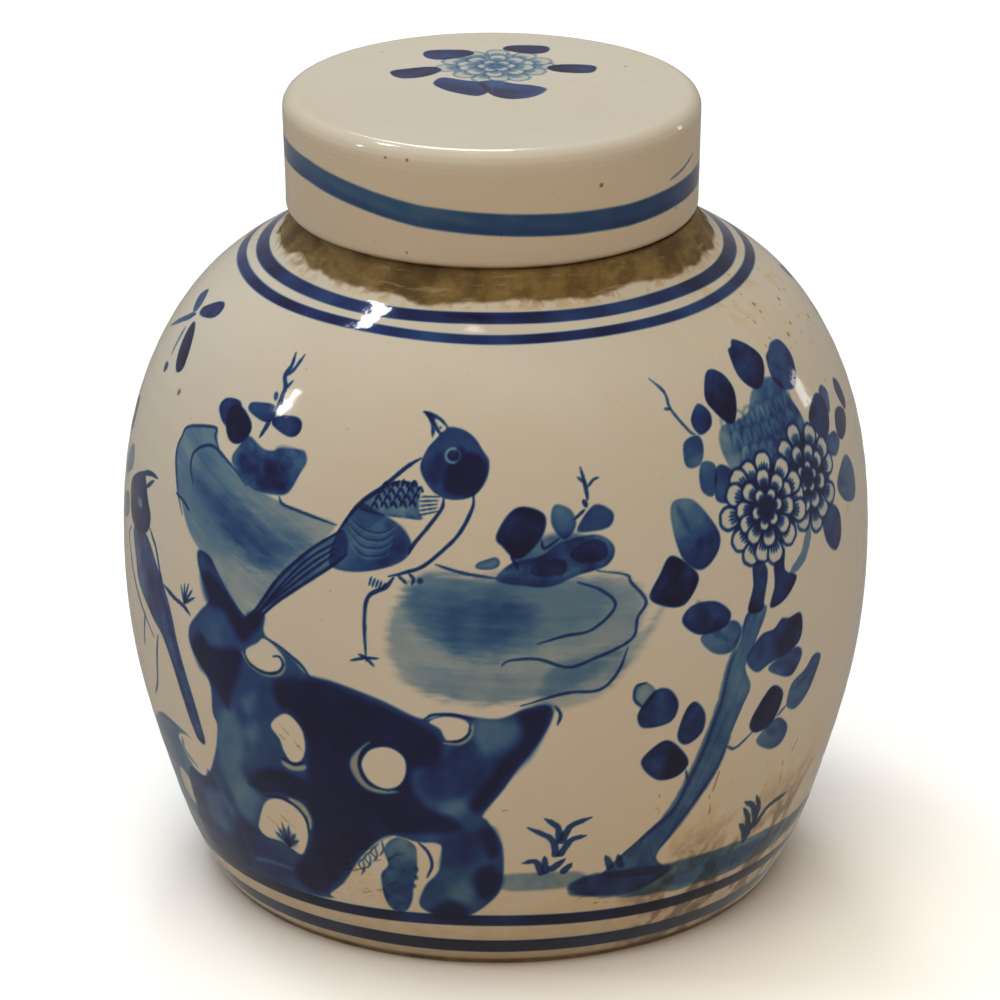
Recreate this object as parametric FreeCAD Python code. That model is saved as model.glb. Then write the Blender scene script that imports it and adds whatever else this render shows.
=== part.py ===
"""A flat-lidded porcelain ginger jar: a thrown jar and a cap lid that drops over its neck.

Millimetres, +Z up. The origin is the centre of the foot ring, on the surface that the jar stands on.
Each piece is one profile, drawn in the XZ half-plane and turned round the Z axis:

  jar_body  egg-shaped pot with a trimmed foot ring, a raised seat for the lid and an upright neck
  lid       straight-sided cap that stands on the seat with its skirt loose round the neck

parts/NODE.step holds each piece.
"""

import FreeCAD
import Part
import math
import os

# Outer shape of the jar, from the foot up to where the seat's concave side begins: (radius, height).
FOOT_BEVEL = 0.8
FOOT_RADIUS = 78.0
SHOULDER_TOP = (62.0, 178.1)
OUTER_STATIONS = [
    (FOOT_RADIUS, FOOT_BEVEL),
    (83.4, 10.0),
    (91.0, 30.5),
    (98.9, 60.0),
    (102.0, 100.0),
    (98.3, 130.0),
    (90.0, 151.2),
    (79.2, 166.0),
    (68.5, 174.4),
    SHOULDER_TOP,
]
FOOT_SPREAD = 31.0  # degrees that the wall leans out at the foot
SHOULDER_RISE = 28.0  # degrees that the shoulder still climbs at its inner end

# Walls and foot.
WALL = 5.5
BASE_THICKNESS = 7.0
FOOT_RING_WIDTH = 10.5
FOOT_RECESS = 3.5
RECESS_FILLET = 1.5
LOWEST_INNER_WALL = 19.0  # height where the floor's round corner meets the inner wall

# Seat, neck and rim.
SEAT_RADIUS = 54.0
SEAT_HEIGHT = 188.2
SEAT_ROUND = 0.6
NECK_RADIUS = 49.0
RIM_HEIGHT = 205.0
RIM_ROUND = 1.5

# Lid.
LID_TOP = 220.4
LID_RADIUS_TOP = 56.0
LID_RADIUS_BOTTOM = 55.4
LID_THICKNESS = 5.4
LID_TOP_ROUND = 4.0
LID_HEM_ROUND = 2.6
LID_INNER_ROUND = 0.7
LID_CEILING_ROUND = 3.0
LID_DISH = 0.6  # how far the top sags in the middle
NECK_PLAY = 1.5  # gap between the neck and the lid's skirt, each side


def at(radius, height):
    """A point of a profile."""
    return FreeCAD.Vector(radius, 0, height)


def lean(degrees_from_horizontal, side=1):
    """A unit direction in the profile's plane, outwards for side 1 and inwards for side -1."""
    angle = math.radians(degrees_from_horizontal)
    return at(side * math.cos(angle), math.sin(angle))


def line(start, end):
    return Part.LineSegment(start, end).toShape()


def arc(centre, radius, from_degrees, to_degrees):
    """A round stretch of a profile; angles are measured from outwards, through up."""
    middle = (from_degrees + to_degrees) / 2
    stops = [
        centre + at(math.cos(math.radians(a)), math.sin(math.radians(a))) * radius
        for a in (from_degrees, middle, to_degrees)
    ]
    return Part.Arc(*stops).toShape()


def smooth(points, start_direction, end_direction):
    """A spline through points that leaves and arrives along the given directions."""
    curve = Part.BSplineCurve()
    curve.interpolate(Points=points, InitialTangent=start_direction, FinalTangent=end_direction)
    return curve


def turn(edges):
    """The solid that a closed profile sweeps round the Z axis."""
    profile = Part.Face(Part.Wire(edges))
    return profile.revolve(FreeCAD.Vector(0, 0, 0), FreeCAD.Vector(0, 0, 1), 360)


def wall_at(curve, height):
    """The outer wall's point and upward direction at a height."""
    low, high = curve.FirstParameter, curve.LastParameter
    for _ in range(60):
        middle = (low + high) / 2
        if curve.value(middle).z < height:
            low = middle
        else:
            high = middle
    return curve.value(low), curve.tangent(low)[0]


def set_in(point, direction):
    """The inner wall's point behind a point of the outer wall."""
    return point + at(-direction.z, direction.x) * WALL


def inner_wall(outer):
    """The inner wall, one WALL behind the outer one, and the direction in which it starts."""
    heights = [z for _, z in OUTER_STATIONS if z > LOWEST_INNER_WALL]
    low, high = LOWEST_INNER_WALL - WALL, LOWEST_INNER_WALL + WALL
    for _ in range(60):
        middle = (low + high) / 2
        if set_in(*wall_at(outer, middle)).z < LOWEST_INNER_WALL:
            low = middle
        else:
            high = middle
    walls = [wall_at(outer, z) for z in [low] + heights[:-1]]
    walls.append((at(*SHOULDER_TOP), lean(SHOULDER_RISE, -1)))
    points = [set_in(*wall) for wall in walls]
    return smooth(points, walls[0][1], walls[-1][1]), walls[0][1]


def make_jar_body():
    outer = smooth(
        [at(*station) for station in OUTER_STATIONS],
        lean(90 - FOOT_SPREAD),
        lean(SHOULDER_RISE, -1),
    )
    inner, inner_start = inner_wall(outer)

    # A concave arc runs out of the shoulder and climbs to the seat's rounded edge.
    shoulder = at(*SHOULDER_TOP)
    seat_edge = at(SEAT_RADIUS, SEAT_HEIGHT - SEAT_ROUND)
    climb = seat_edge - shoulder
    chord_angle = math.degrees(math.atan2(climb.z, -climb.x))
    half_turn = chord_angle - SHOULDER_RISE
    side_radius = climb.Length / (2 * math.sin(math.radians(half_turn)))
    side_centre = shoulder + lean(90 - SHOULDER_RISE) * side_radius
    side_start = 270 - SHOULDER_RISE
    seat_flat = at(SEAT_RADIUS - SEAT_ROUND, SEAT_HEIGHT)

    # Behind it the inner wall turns up into the neck's bore.
    bore_radius = NECK_RADIUS - WALL
    shoulder_inside = inner.value(inner.LastParameter)
    turn_radius = (shoulder_inside.x - bore_radius) / (1 - math.sin(math.radians(SHOULDER_RISE)))
    turn_centre = shoulder_inside + lean(90 - SHOULDER_RISE) * turn_radius

    # The rim is flat between two rounded edges.
    rim_outer = at(NECK_RADIUS - RIM_ROUND, RIM_HEIGHT - RIM_ROUND)
    rim_inner = at(bore_radius + RIM_ROUND, RIM_HEIGHT - RIM_ROUND)

    # The floor's corner is an arc from the flat floor up to the inner wall's start.
    floor = FOOT_RECESS + BASE_THICKNESS
    lean_out = math.asin(inner_start.x)
    corner_radius = (LOWEST_INNER_WALL - floor) / (1 - math.sin(lean_out))
    wall_start = inner.value(inner.FirstParameter)
    corner_centre = wall_start - at(math.cos(lean_out), -math.sin(lean_out)) * corner_radius

    # The foot ring stands round a shallow recess with a rounded inner corner.
    ring_inner = FOOT_RADIUS - FOOT_BEVEL - FOOT_RING_WIDTH
    recess_corner = at(ring_inner - RECESS_FILLET, FOOT_RECESS - RECESS_FILLET)

    return turn([
        outer.toShape(),
        arc(side_centre, side_radius, side_start, side_start - 2 * half_turn),
        line(seat_edge, seat_flat),
        line(seat_flat, at(NECK_RADIUS, SEAT_HEIGHT)),
        line(at(NECK_RADIUS, SEAT_HEIGHT), at(NECK_RADIUS, rim_outer.z)),
        arc(rim_outer, RIM_ROUND, 0, 90),
        line(at(rim_outer.x, RIM_HEIGHT), at(rim_inner.x, RIM_HEIGHT)),
        arc(rim_inner, RIM_ROUND, 90, 180),
        line(at(bore_radius, rim_inner.z), at(bore_radius, turn_centre.z)),
        arc(turn_centre, turn_radius, 180, side_start),
        inner.toShape(),
        arc(corner_centre, corner_radius, -math.degrees(lean_out), -90),
        line(at(corner_centre.x, floor), at(0, floor)),
        line(at(0, floor), at(0, FOOT_RECESS)),
        line(at(0, FOOT_RECESS), at(recess_corner.x, FOOT_RECESS)),
        arc(recess_corner, RECESS_FILLET, 90, 0),
        line(at(ring_inner, recess_corner.z), at(ring_inner, 0)),
        line(at(ring_inner, 0), at(FOOT_RADIUS - FOOT_BEVEL, 0)),
        line(at(FOOT_RADIUS - FOOT_BEVEL, 0), at(FOOT_RADIUS, FOOT_BEVEL)),
    ])


def make_lid():
    skirt_inside = NECK_RADIUS + NECK_PLAY
    ceiling = LID_TOP - LID_DISH - LID_THICKNESS
    top_edge = at(LID_RADIUS_TOP - LID_TOP_ROUND, LID_TOP - LID_TOP_ROUND)
    hem_outer = at(LID_RADIUS_BOTTOM - LID_HEM_ROUND, SEAT_HEIGHT + LID_HEM_ROUND)
    hem_inner = at(skirt_inside + LID_INNER_ROUND, SEAT_HEIGHT + LID_INNER_ROUND)
    ceiling_corner = at(skirt_inside - LID_CEILING_ROUND, ceiling - LID_CEILING_ROUND)
    top_outside = at(top_edge.x, LID_TOP)
    top_middle = at(0, LID_TOP - LID_DISH)
    dish = smooth([top_outside, top_middle], at(-1, 0), at(-1, 0))

    return turn([
        arc(hem_outer, LID_HEM_ROUND, -90, 0),
        line(at(LID_RADIUS_BOTTOM, hem_outer.z), at(LID_RADIUS_TOP, top_edge.z)),
        arc(top_edge, LID_TOP_ROUND, 0, 90),
        dish.toShape(),
        line(top_middle, at(0, ceiling)),
        line(at(0, ceiling), at(ceiling_corner.x, ceiling)),
        arc(ceiling_corner, LID_CEILING_ROUND, 90, 0),
        line(at(skirt_inside, ceiling_corner.z), at(skirt_inside, hem_inner.z)),
        arc(hem_inner, LID_INNER_ROUND, 180, 270),
        line(at(hem_inner.x, SEAT_HEIGHT), at(hem_outer.x, SEAT_HEIGHT)),
    ])


def main():
    os.makedirs("parts", exist_ok=True)
    pieces = {"jar_body": make_jar_body(), "lid": make_lid()}
    for node, shape in pieces.items():
        solid = shape.Solids[0]
        print(node, "valid", solid.isValid(), "closed", solid.isClosed(), "mm3", round(solid.Volume))
        solid.exportStep(f"parts/{node}.step")
    shared = pieces["jar_body"].common(pieces["lid"]).Volume
    print("overlap mm3", round(shared, 4))


main()
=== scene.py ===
import math
import bpy
import numpy as np
from mathutils import Matrix, Vector


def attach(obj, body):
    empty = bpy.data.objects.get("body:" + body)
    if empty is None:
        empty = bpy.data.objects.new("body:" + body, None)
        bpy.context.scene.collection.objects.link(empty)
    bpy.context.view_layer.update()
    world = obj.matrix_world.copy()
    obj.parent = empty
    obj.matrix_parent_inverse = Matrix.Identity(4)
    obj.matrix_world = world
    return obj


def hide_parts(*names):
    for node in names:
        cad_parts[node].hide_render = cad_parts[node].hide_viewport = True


# A blue and white porcelain ginger jar: the looks of the jar body and of its cap lid.
#
# Shapes and painting are worked out in millimetres and turned into metres when a mesh is made.
# On the jar a painted point is (angle, run): degrees round from the front, to the right, and the
# length in millimetres up along the wall from the foot. On top of the lid it is (x, y), and on the
# lid's side (angle, height). A tone is a share of the deepest cobalt, from 0 to 1.

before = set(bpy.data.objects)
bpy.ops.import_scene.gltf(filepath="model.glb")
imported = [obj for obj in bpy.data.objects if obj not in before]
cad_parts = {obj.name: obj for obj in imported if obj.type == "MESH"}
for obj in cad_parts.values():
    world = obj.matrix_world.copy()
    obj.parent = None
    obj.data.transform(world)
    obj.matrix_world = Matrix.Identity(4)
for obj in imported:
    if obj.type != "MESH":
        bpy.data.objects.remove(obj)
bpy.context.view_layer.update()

MM = 0.001
rng = np.random.default_rng(7)
COLUMNS = 1800
WALL_ROWS = 620
LID_COLUMNS = 1200
LID_STEP = 0.38
CURVE_STEPS = 6  # straight bits between two points of a painted line


# ---------------------------------------------------------------- profiles

OUTER_STATIONS = [
    (78.0, 0.8), (83.4, 10.0), (91.0, 30.5), (98.9, 60.0), (102.0, 100.0),
    (98.3, 130.0), (90.0, 151.2), (79.2, 166.0), (68.5, 174.4), (62.0, 178.1),
]
FOOT_SPREAD = math.radians(90 - 31)
SHOULDER_RISE = math.radians(28)
SEAT_EDGE = (54.0, 187.6)
SEAT_HEIGHT = 188.2
NECK_RADIUS = 49.0
WALL = 5.5
BASE_HEIGHT = 3.5  # the recessed underside, inside the foot ring
FOOT_INSIDE = 66.7
FOOT_ROUND = 1.5
FLOOR_HEIGHT = 10.5
BORE_RADIUS = NECK_RADIUS - WALL
RIM_HEIGHT = 205.0
RIM_ROUND = 1.5
LID_TOP = 220.4
LID_DISH = 0.6
LID_THICKNESS = 5.4
LID_RADIUS_TOP = 56.0
LID_RADIUS_BOTTOM = 55.4
SKIRT_INSIDE = 50.5
LID_EDGE_ROUND = 4.0
LID_HEM_ROUND = 2.6
LID_SIDEWAYS = -1.1  # the lid rests a little to the left, within its play round the neck


def arc(centre, radius, start, stop, steps):
    """Points of a round stretch; angles are in degrees from outwards, through up."""
    turn = np.radians(np.linspace(start, stop, steps + 1))
    return np.stack([centre[0] + radius * np.cos(turn), centre[1] + radius * np.sin(turn)], 1)


def run_length(points):
    """How far along a line each of its points is."""
    return np.concatenate([[0], np.cumsum(np.hypot(*np.diff(points, axis=0).T))])


def spline(points, start_direction, end_direction, per_span):
    """A smooth curve through points with a set direction at each end."""
    points = np.array(points, float)
    stops = run_length(points)
    gaps = np.diff(stops)
    count = len(points)
    system = np.zeros((count, count))
    known = np.zeros((count, 2))
    system[0, 0] = system[-1, -1] = 1
    known[0] = start_direction
    known[-1] = end_direction
    for i in range(1, count - 1):
        before, after = gaps[i - 1], gaps[i]
        system[i, i - 1:i + 2] = after, 2 * (before + after), before
        rise_before = (points[i] - points[i - 1]) / before
        rise_after = (points[i + 1] - points[i]) / after
        known[i] = 3 * (after * rise_before + before * rise_after)
    slopes = np.linalg.solve(system, known)
    curve = []
    for i in range(count - 1):
        t = np.linspace(0, 1, per_span, endpoint=False)[:, None]
        curve.append(
            (1 + 2 * t) * (1 - t) ** 2 * points[i]
            + t ** 2 * (3 - 2 * t) * points[i + 1]
            + gaps[i] * t * (1 - t) ** 2 * slopes[i]
            - gaps[i] * t ** 2 * (1 - t) * slopes[i + 1]
        )
    curve.append(points[-1:])
    return np.concatenate(curve)


def spaced(points, step):
    """The same line with a point about every step, and its corners kept."""
    result = [np.array(points[0], float)]
    for end in points[1:]:
        start = result[-1]
        end = np.array(end, float)
        pieces = max(1, round(float(np.hypot(*(end - start))) / step))
        for i in range(pieces):
            result.append(start + (end - start) * (i + 1) / pieces)
    return np.array(result)


def outer_wall():
    """The jar's outer profile from the foot's bevel to the edge of the lid's seat."""
    lower = spline(
        OUTER_STATIONS,
        (math.cos(FOOT_SPREAD), math.sin(FOOT_SPREAD)),
        (-math.cos(SHOULDER_RISE), math.sin(SHOULDER_RISE)),
        80,
    )
    shoulder = np.array(OUTER_STATIONS[-1])
    climb = np.array(SEAT_EDGE) - shoulder
    half = math.atan2(climb[1], -climb[0]) - SHOULDER_RISE
    radius = np.hypot(*climb) / (2 * math.sin(half))
    centre = shoulder + radius * np.array([math.sin(SHOULDER_RISE), math.cos(SHOULDER_RISE)])
    start = 270 - math.degrees(SHOULDER_RISE)
    return np.concatenate([lower, arc(centre, radius, start, start - 2 * math.degrees(half), 40)[1:]])


wall_line = outer_wall()
wall_run = run_length(wall_line)
WALL_LENGTH = wall_run[-1]


def wall_radius(run):
    """The jar's radius at a length up along its wall."""
    return np.interp(run, wall_run, wall_line[:, 0])


def inner_wall():
    """One WALL behind the outer profile, from the floor's corner up to the shoulder."""
    steps = np.linspace(18.5, 196.0, 60)
    ahead = np.stack([np.interp(steps + 0.5, wall_run, wall_line[:, i]) for i in (0, 1)], 1)
    back = np.stack([np.interp(steps - 0.5, wall_run, wall_line[:, i]) for i in (0, 1)], 1)
    along = (ahead - back) / np.hypot(*(ahead - back).T)[:, None]
    return (ahead + back) / 2 + WALL * np.stack([-along[:, 1], along[:, 0]], 1)


# ---------------------------------------------------------------- turned meshes

def turned_mesh(name, profile, columns, wobble=None):
    """A closed mesh: a profile from axis to axis turned round Z. Returns it and its grid of angles."""
    angles = np.linspace(-180, 180, columns, endpoint=False)
    radius = profile[1:-1, 0][:, None] + np.zeros((1, columns))
    height = profile[1:-1, 1][:, None] + np.zeros((1, columns))
    if wobble is not None:
        radius = radius + wobble(angles[None, :], np.arange(1, len(profile) - 1)[:, None])
    turn = np.radians(angles)[None, :]
    rows = len(profile) - 2
    ring = np.stack([radius * np.sin(turn), -radius * np.cos(turn), height], -1).reshape(-1, 3)
    poles = np.array([[0, 0, profile[0, 1]], [0, 0, profile[-1, 1]]])
    corners = np.concatenate([ring, poles]) * MM

    row, column = np.meshgrid(np.arange(rows - 1), np.arange(columns), indexing="ij")
    after = (column + 1) % columns
    quads = np.stack([
        row * columns + column, row * columns + after,
        (row + 1) * columns + after, (row + 1) * columns + column,
    ], -1).reshape(-1, 4)
    first = np.arange(columns)
    second = (first + 1) % columns
    low_fan = np.stack([np.full(columns, rows * columns), second, first], -1)
    top = (rows - 1) * columns
    high_fan = np.stack([np.full(columns, rows * columns + 1), top + first, top + second], -1)
    loops = np.concatenate([quads.ravel(), low_fan.ravel(), high_fan.ravel()])
    sizes = np.concatenate([np.full(len(quads), 4), np.full(2 * columns, 3)])

    mesh = bpy.data.meshes.new(name)
    mesh.vertices.add(len(corners))
    mesh.vertices.foreach_set("co", corners.astype(np.float32).ravel())
    mesh.loops.add(len(loops))
    mesh.loops.foreach_set("vertex_index", loops.astype(np.int32))
    mesh.polygons.add(len(sizes))
    starts = np.concatenate([[0], np.cumsum(sizes)[:-1]])
    mesh.polygons.foreach_set("loop_start", starts.astype(np.int32))
    mesh.polygons.foreach_set("loop_total", sizes.astype(np.int32))
    mesh.update(calc_edges=True)
    mesh.validate()
    mesh.polygons.foreach_set("use_smooth", np.ones(len(sizes), bool))
    piece = bpy.data.objects.new(name, mesh)
    bpy.context.scene.collection.objects.link(piece)
    return piece, angles


def store(piece, name, values):
    """Keeps one number per vertex for the material; the two poles get none."""
    attribute = piece.data.attributes.new(name, "FLOAT", "POINT")
    full = np.zeros(len(piece.data.vertices), np.float32)
    full[:values.size] = values.ravel()
    attribute.data.foreach_set("value", full)


# ---------------------------------------------------------------- brushwork

lattice = rng.random((256, 256)).astype(np.float32)


def noise(x, y):
    """Smooth random values from 0 to 1 with one lump per unit."""
    column = np.floor(x).astype(int)
    row = np.floor(y).astype(int)
    fx = x - column
    fy = y - row
    fx = fx * fx * (3 - 2 * fx)
    fy = fy * fy * (3 - 2 * fy)
    left, right = column & 255, (column + 1) & 255
    low, high = row & 255, (row + 1) & 255
    bottom = lattice[low, left] * (1 - fx) + lattice[low, right] * fx
    top = lattice[high, left] * (1 - fx) + lattice[high, right] * fx
    return bottom * (1 - fy) + top * fy


def clouds(x, y, size):
    """Noise with finer lumps on coarser ones, from 0 to 1."""
    return (
        0.55 * noise(x / size, y / size)
        + 0.3 * noise(x / size * 2.1 + 17, y / size * 2.1 + 5)
        + 0.15 * noise(x / size * 4.3 + 31, y / size * 4.3 + 47)
    )


def ease(low, high, value):
    """0 below low, 1 above high and smooth between."""
    t = np.clip((value - low) / (high - low), 0, 1)
    return t * t * (3 - 2 * t)


def smooth(points, closed=False):
    """A flowing line through the points."""
    p = np.array(points, float)
    if len(p) < 3:
        return p
    if closed:
        p = np.concatenate([p[-1:], p, p[:2]])
    else:
        p = np.concatenate([2 * p[:1] - p[1:2], p, 2 * p[-1:] - p[-2:-1]])
    parts = []
    for a, b, c, d in zip(p[:-3], p[1:-2], p[2:-1], p[3:]):
        t = np.linspace(0, 1, CURVE_STEPS, endpoint=False)[:, None]
        parts.append(0.5 * (
            2 * b + (c - a) * t + (2 * a - 5 * b + 4 * c - d) * t ** 2
            + (3 * b - a - 3 * c + d) * t ** 3
        ))
    parts.append(p[-2:-1])
    return np.concatenate(parts)


class Canvas:
    """Points that can be painted: their place (u, v), and how many millimetres one unit of u is."""

    def __init__(self, u, v, unit, flat_unit=None):
        self.u = u.astype(np.float32).ravel()
        self.v = v.astype(np.float32).ravel()
        self.unit = unit.astype(np.float32).ravel()
        self.smallest_unit = max(float(self.unit.min()), 0.3)
        self.round = flat_unit is None
        self.flat_unit = flat_unit
        self.cobalt = np.zeros(self.u.shape, np.float32)
        self.stain = np.zeros(self.u.shape, np.float32)

    def turned(self, degrees):
        """The same canvas with its front moved round by some degrees."""
        other = object.__new__(Canvas)
        other.__dict__.update(self.__dict__)
        other.u = (self.u - degrees + 180) % 360 - 180
        return other

    def measure(self, line, reach, closed=False):
        """The points near a line: which they are, their distance, how far along, and if inside."""
        low, high = line.min(0), line.max(0)
        wide = reach / self.smallest_unit
        near = np.flatnonzero(
            (self.u > low[0] - wide) & (self.u < high[0] + wide)
            & (self.v > low[1] - reach) & (self.v < high[1] + reach)
        )
        x, y, unit = self.u[near], self.v[near], self.unit[near]
        best = np.full(len(near), 1e9, np.float32)
        along = np.zeros(len(near), np.float32)
        inside = np.zeros(len(near), bool)
        count = len(line) - 1
        for i in range(count):
            ax, ay = line[i].tolist()
            bx, by = line[i + 1].tolist()
            dx = (bx - ax) * unit
            dy = by - ay
            px = (x - ax) * unit
            py = y - ay
            t = np.clip((px * dx + py * dy) / np.maximum(dx * dx + dy * dy, 1e-9), 0, 1)
            gap = (px - t * dx) ** 2 + (py - t * dy) ** 2
            closer = gap < best
            best[closer] = gap[closer]
            along[closer] = (i + t[closer]) / count
            if closed and ay != by:
                inside ^= ((ay > y) != (by > y)) & (x < (bx - ax) * (y - ay) / (by - ay) + ax)
        return near, np.sqrt(best), along, inside

    def add(self, near, density):
        """Lays more cobalt over what is there."""
        self.cobalt[near] = 1 - (1 - self.cobalt[near]) * (1 - np.clip(density, 0, 1))

    def fill(self, points, tone, rim=0.1, soft=0.3, mottle=0.25, toward=None, end=None,
             streak=None, ragged=0.0, spread=6.0):
        """A filled brush shape. Its tone runs to end in the direction toward, in degrees."""
        near, gap, _, inside = self.measure(smooth(points, True), soft + ragged + 0.5, True)
        if not len(near):
            return
        x = self.u[near] * self.unit[near]
        y = self.v[near]
        depth = np.where(inside, gap, -gap)
        if ragged:
            depth = depth - ragged * (1.6 * clouds(x * 0.35, y * 1.6, 1.6) - 0.6)
        cover = ease(-soft, soft, depth)
        strength = np.full(len(near), float(tone))
        if toward is not None:
            way = math.radians(toward)
            place = x * math.cos(way) + y * math.sin(way)
            first, last = place[inside].min(), place[inside].max()
            strength = tone + (end - tone) * ease(0.1, 0.9, (place - first) / (last - first))
        strength = strength * (1 + mottle * 2 * (clouds(x, y, spread) - 0.5))
        if streak is not None:
            way, amount = math.radians(streak[0]), streak[1]
            forward = x * math.cos(way) + y * math.sin(way)
            across = -x * math.sin(way) + y * math.cos(way)
            lines = clouds(forward * 0.05, across, 1.1) + clouds(forward * 0.09, across, 4.5)
            strength = strength * (1 + amount * 2 * (lines / 2 - 0.5))
        strength = strength + rim * np.exp(-np.maximum(depth, 0) / 0.6)
        self.add(near, strength * cover)

    def stroke(self, points, width, tone, taper=(0.4, 0.4), soft=0.22):
        """A brush line. Width is in millimetres, one or one at each end; taper is the share of the
        width left at the very start and end."""
        line = smooth(points)
        first, last = width if isinstance(width, tuple) else (width, width)
        near, gap, along, _ = self.measure(line, max(first, last) / 2 + 0.6)
        if not len(near):
            return
        x = self.u[near] * self.unit[near]
        shape = np.minimum(1, taper[0] + (1 - taper[0]) * along / 0.2)
        shape = shape * np.minimum(1, taper[1] + (1 - taper[1]) * (1 - along) / 0.2)
        half = (first + (last - first) * along) / 2 * shape
        half = half * (0.85 + 0.3 * noise(x * 0.7 + 3, self.v[near] * 0.7))
        self.add(near, tone * ease(soft, -soft, gap - half))

    def leaf(self, base, tip, width, tone, end=None, rim=0.12):
        """A leaf or a round dab between two points, width in millimetres."""
        base, tip = np.array(base, float), np.array(tip, float)
        unit = self.unit_at((base[1] + tip[1]) / 2)
        along = (tip - base) * (unit, 1)
        across = np.array([-along[1], along[0]]) / max(np.hypot(*along), 1e-6)
        turn = np.linspace(0, 2 * np.pi, 14, endpoint=False)
        uneven = 1 + 0.07 * np.sin(2 * turn + base[1]) + 0.06 * np.sin(3 * turn + 2 * base[0])
        places = 0.5 - 0.5 * np.sign(np.cos(turn)) * np.abs(np.cos(turn)) ** 0.9
        swell = np.sign(np.sin(turn)) * np.abs(np.sin(turn)) ** 0.85 * uneven
        swell = swell * (1 + 0.5 * (places - 0.5))
        shape = np.outer(places, along) + np.outer(swell * width / 2, across)
        way = math.degrees(math.atan2(along[1], along[0]))
        self.fill(base + shape / (unit, 1), tone, rim, toward=way, end=tone if end is None else end)

    def unit_at(self, v):
        """Millimetres in one unit of u at a height v."""
        return math.radians(float(wall_radius(v))) if self.round else self.flat_unit

    def erase(self, points, left=0.0, soft=0.3):
        """Keeps a shape free of colour."""
        near, gap, _, inside = self.measure(smooth(points, True), soft, True)
        depth = np.where(inside, gap, -gap)
        self.cobalt[near] *= 1 - (1 - left) * ease(-soft, soft, depth)

    def tint(self, points, amount, soft=1.0):
        """A stained patch."""
        near, gap, _, inside = self.measure(smooth(points, True), soft, True)
        depth = np.where(inside, gap, -gap)
        self.stain[near] = np.maximum(self.stain[near], amount * ease(-soft, soft, depth))

    def scratch(self, points, width, amount):
        """A thin stained line, broken here and there."""
        near, gap, _, _ = self.measure(smooth(points), width / 2 + 0.6)
        worn = ease(0.25, 0.6, noise(self.u[near] * 1.3 + 11, self.v[near] * 0.6))
        line = min(1, 1.7 * amount) * worn * ease(0.35, -0.35, gap - width / 2)
        self.stain[near] = np.maximum(self.stain[near], line)

    def dab(self, centre, radius, amount, soft=0.5, layer="stain", stretch=1.0):
        """A round spot of stain or of colour; stretch makes it longer up and down."""
        wide = (radius + soft) / self.smallest_unit
        tall = (radius + soft) * stretch
        near = np.flatnonzero(
            (np.abs(self.u - centre[0]) < wide) & (np.abs(self.v - centre[1]) < tall)
        )
        x = (self.u[near] - centre[0]) * self.unit[near]
        y = (self.v[near] - centre[1]) / stretch
        spot = amount * ease(radius + soft, max(radius - soft, 0), np.hypot(x, y))
        if layer == "stain":
            self.stain[near] = np.maximum(self.stain[near], spot)
        else:
            self.add(near, spot)


# ---------------------------------------------------------------- the painted scene

FINE = 0.8  # width of the drawn lines, in millimetres


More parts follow.
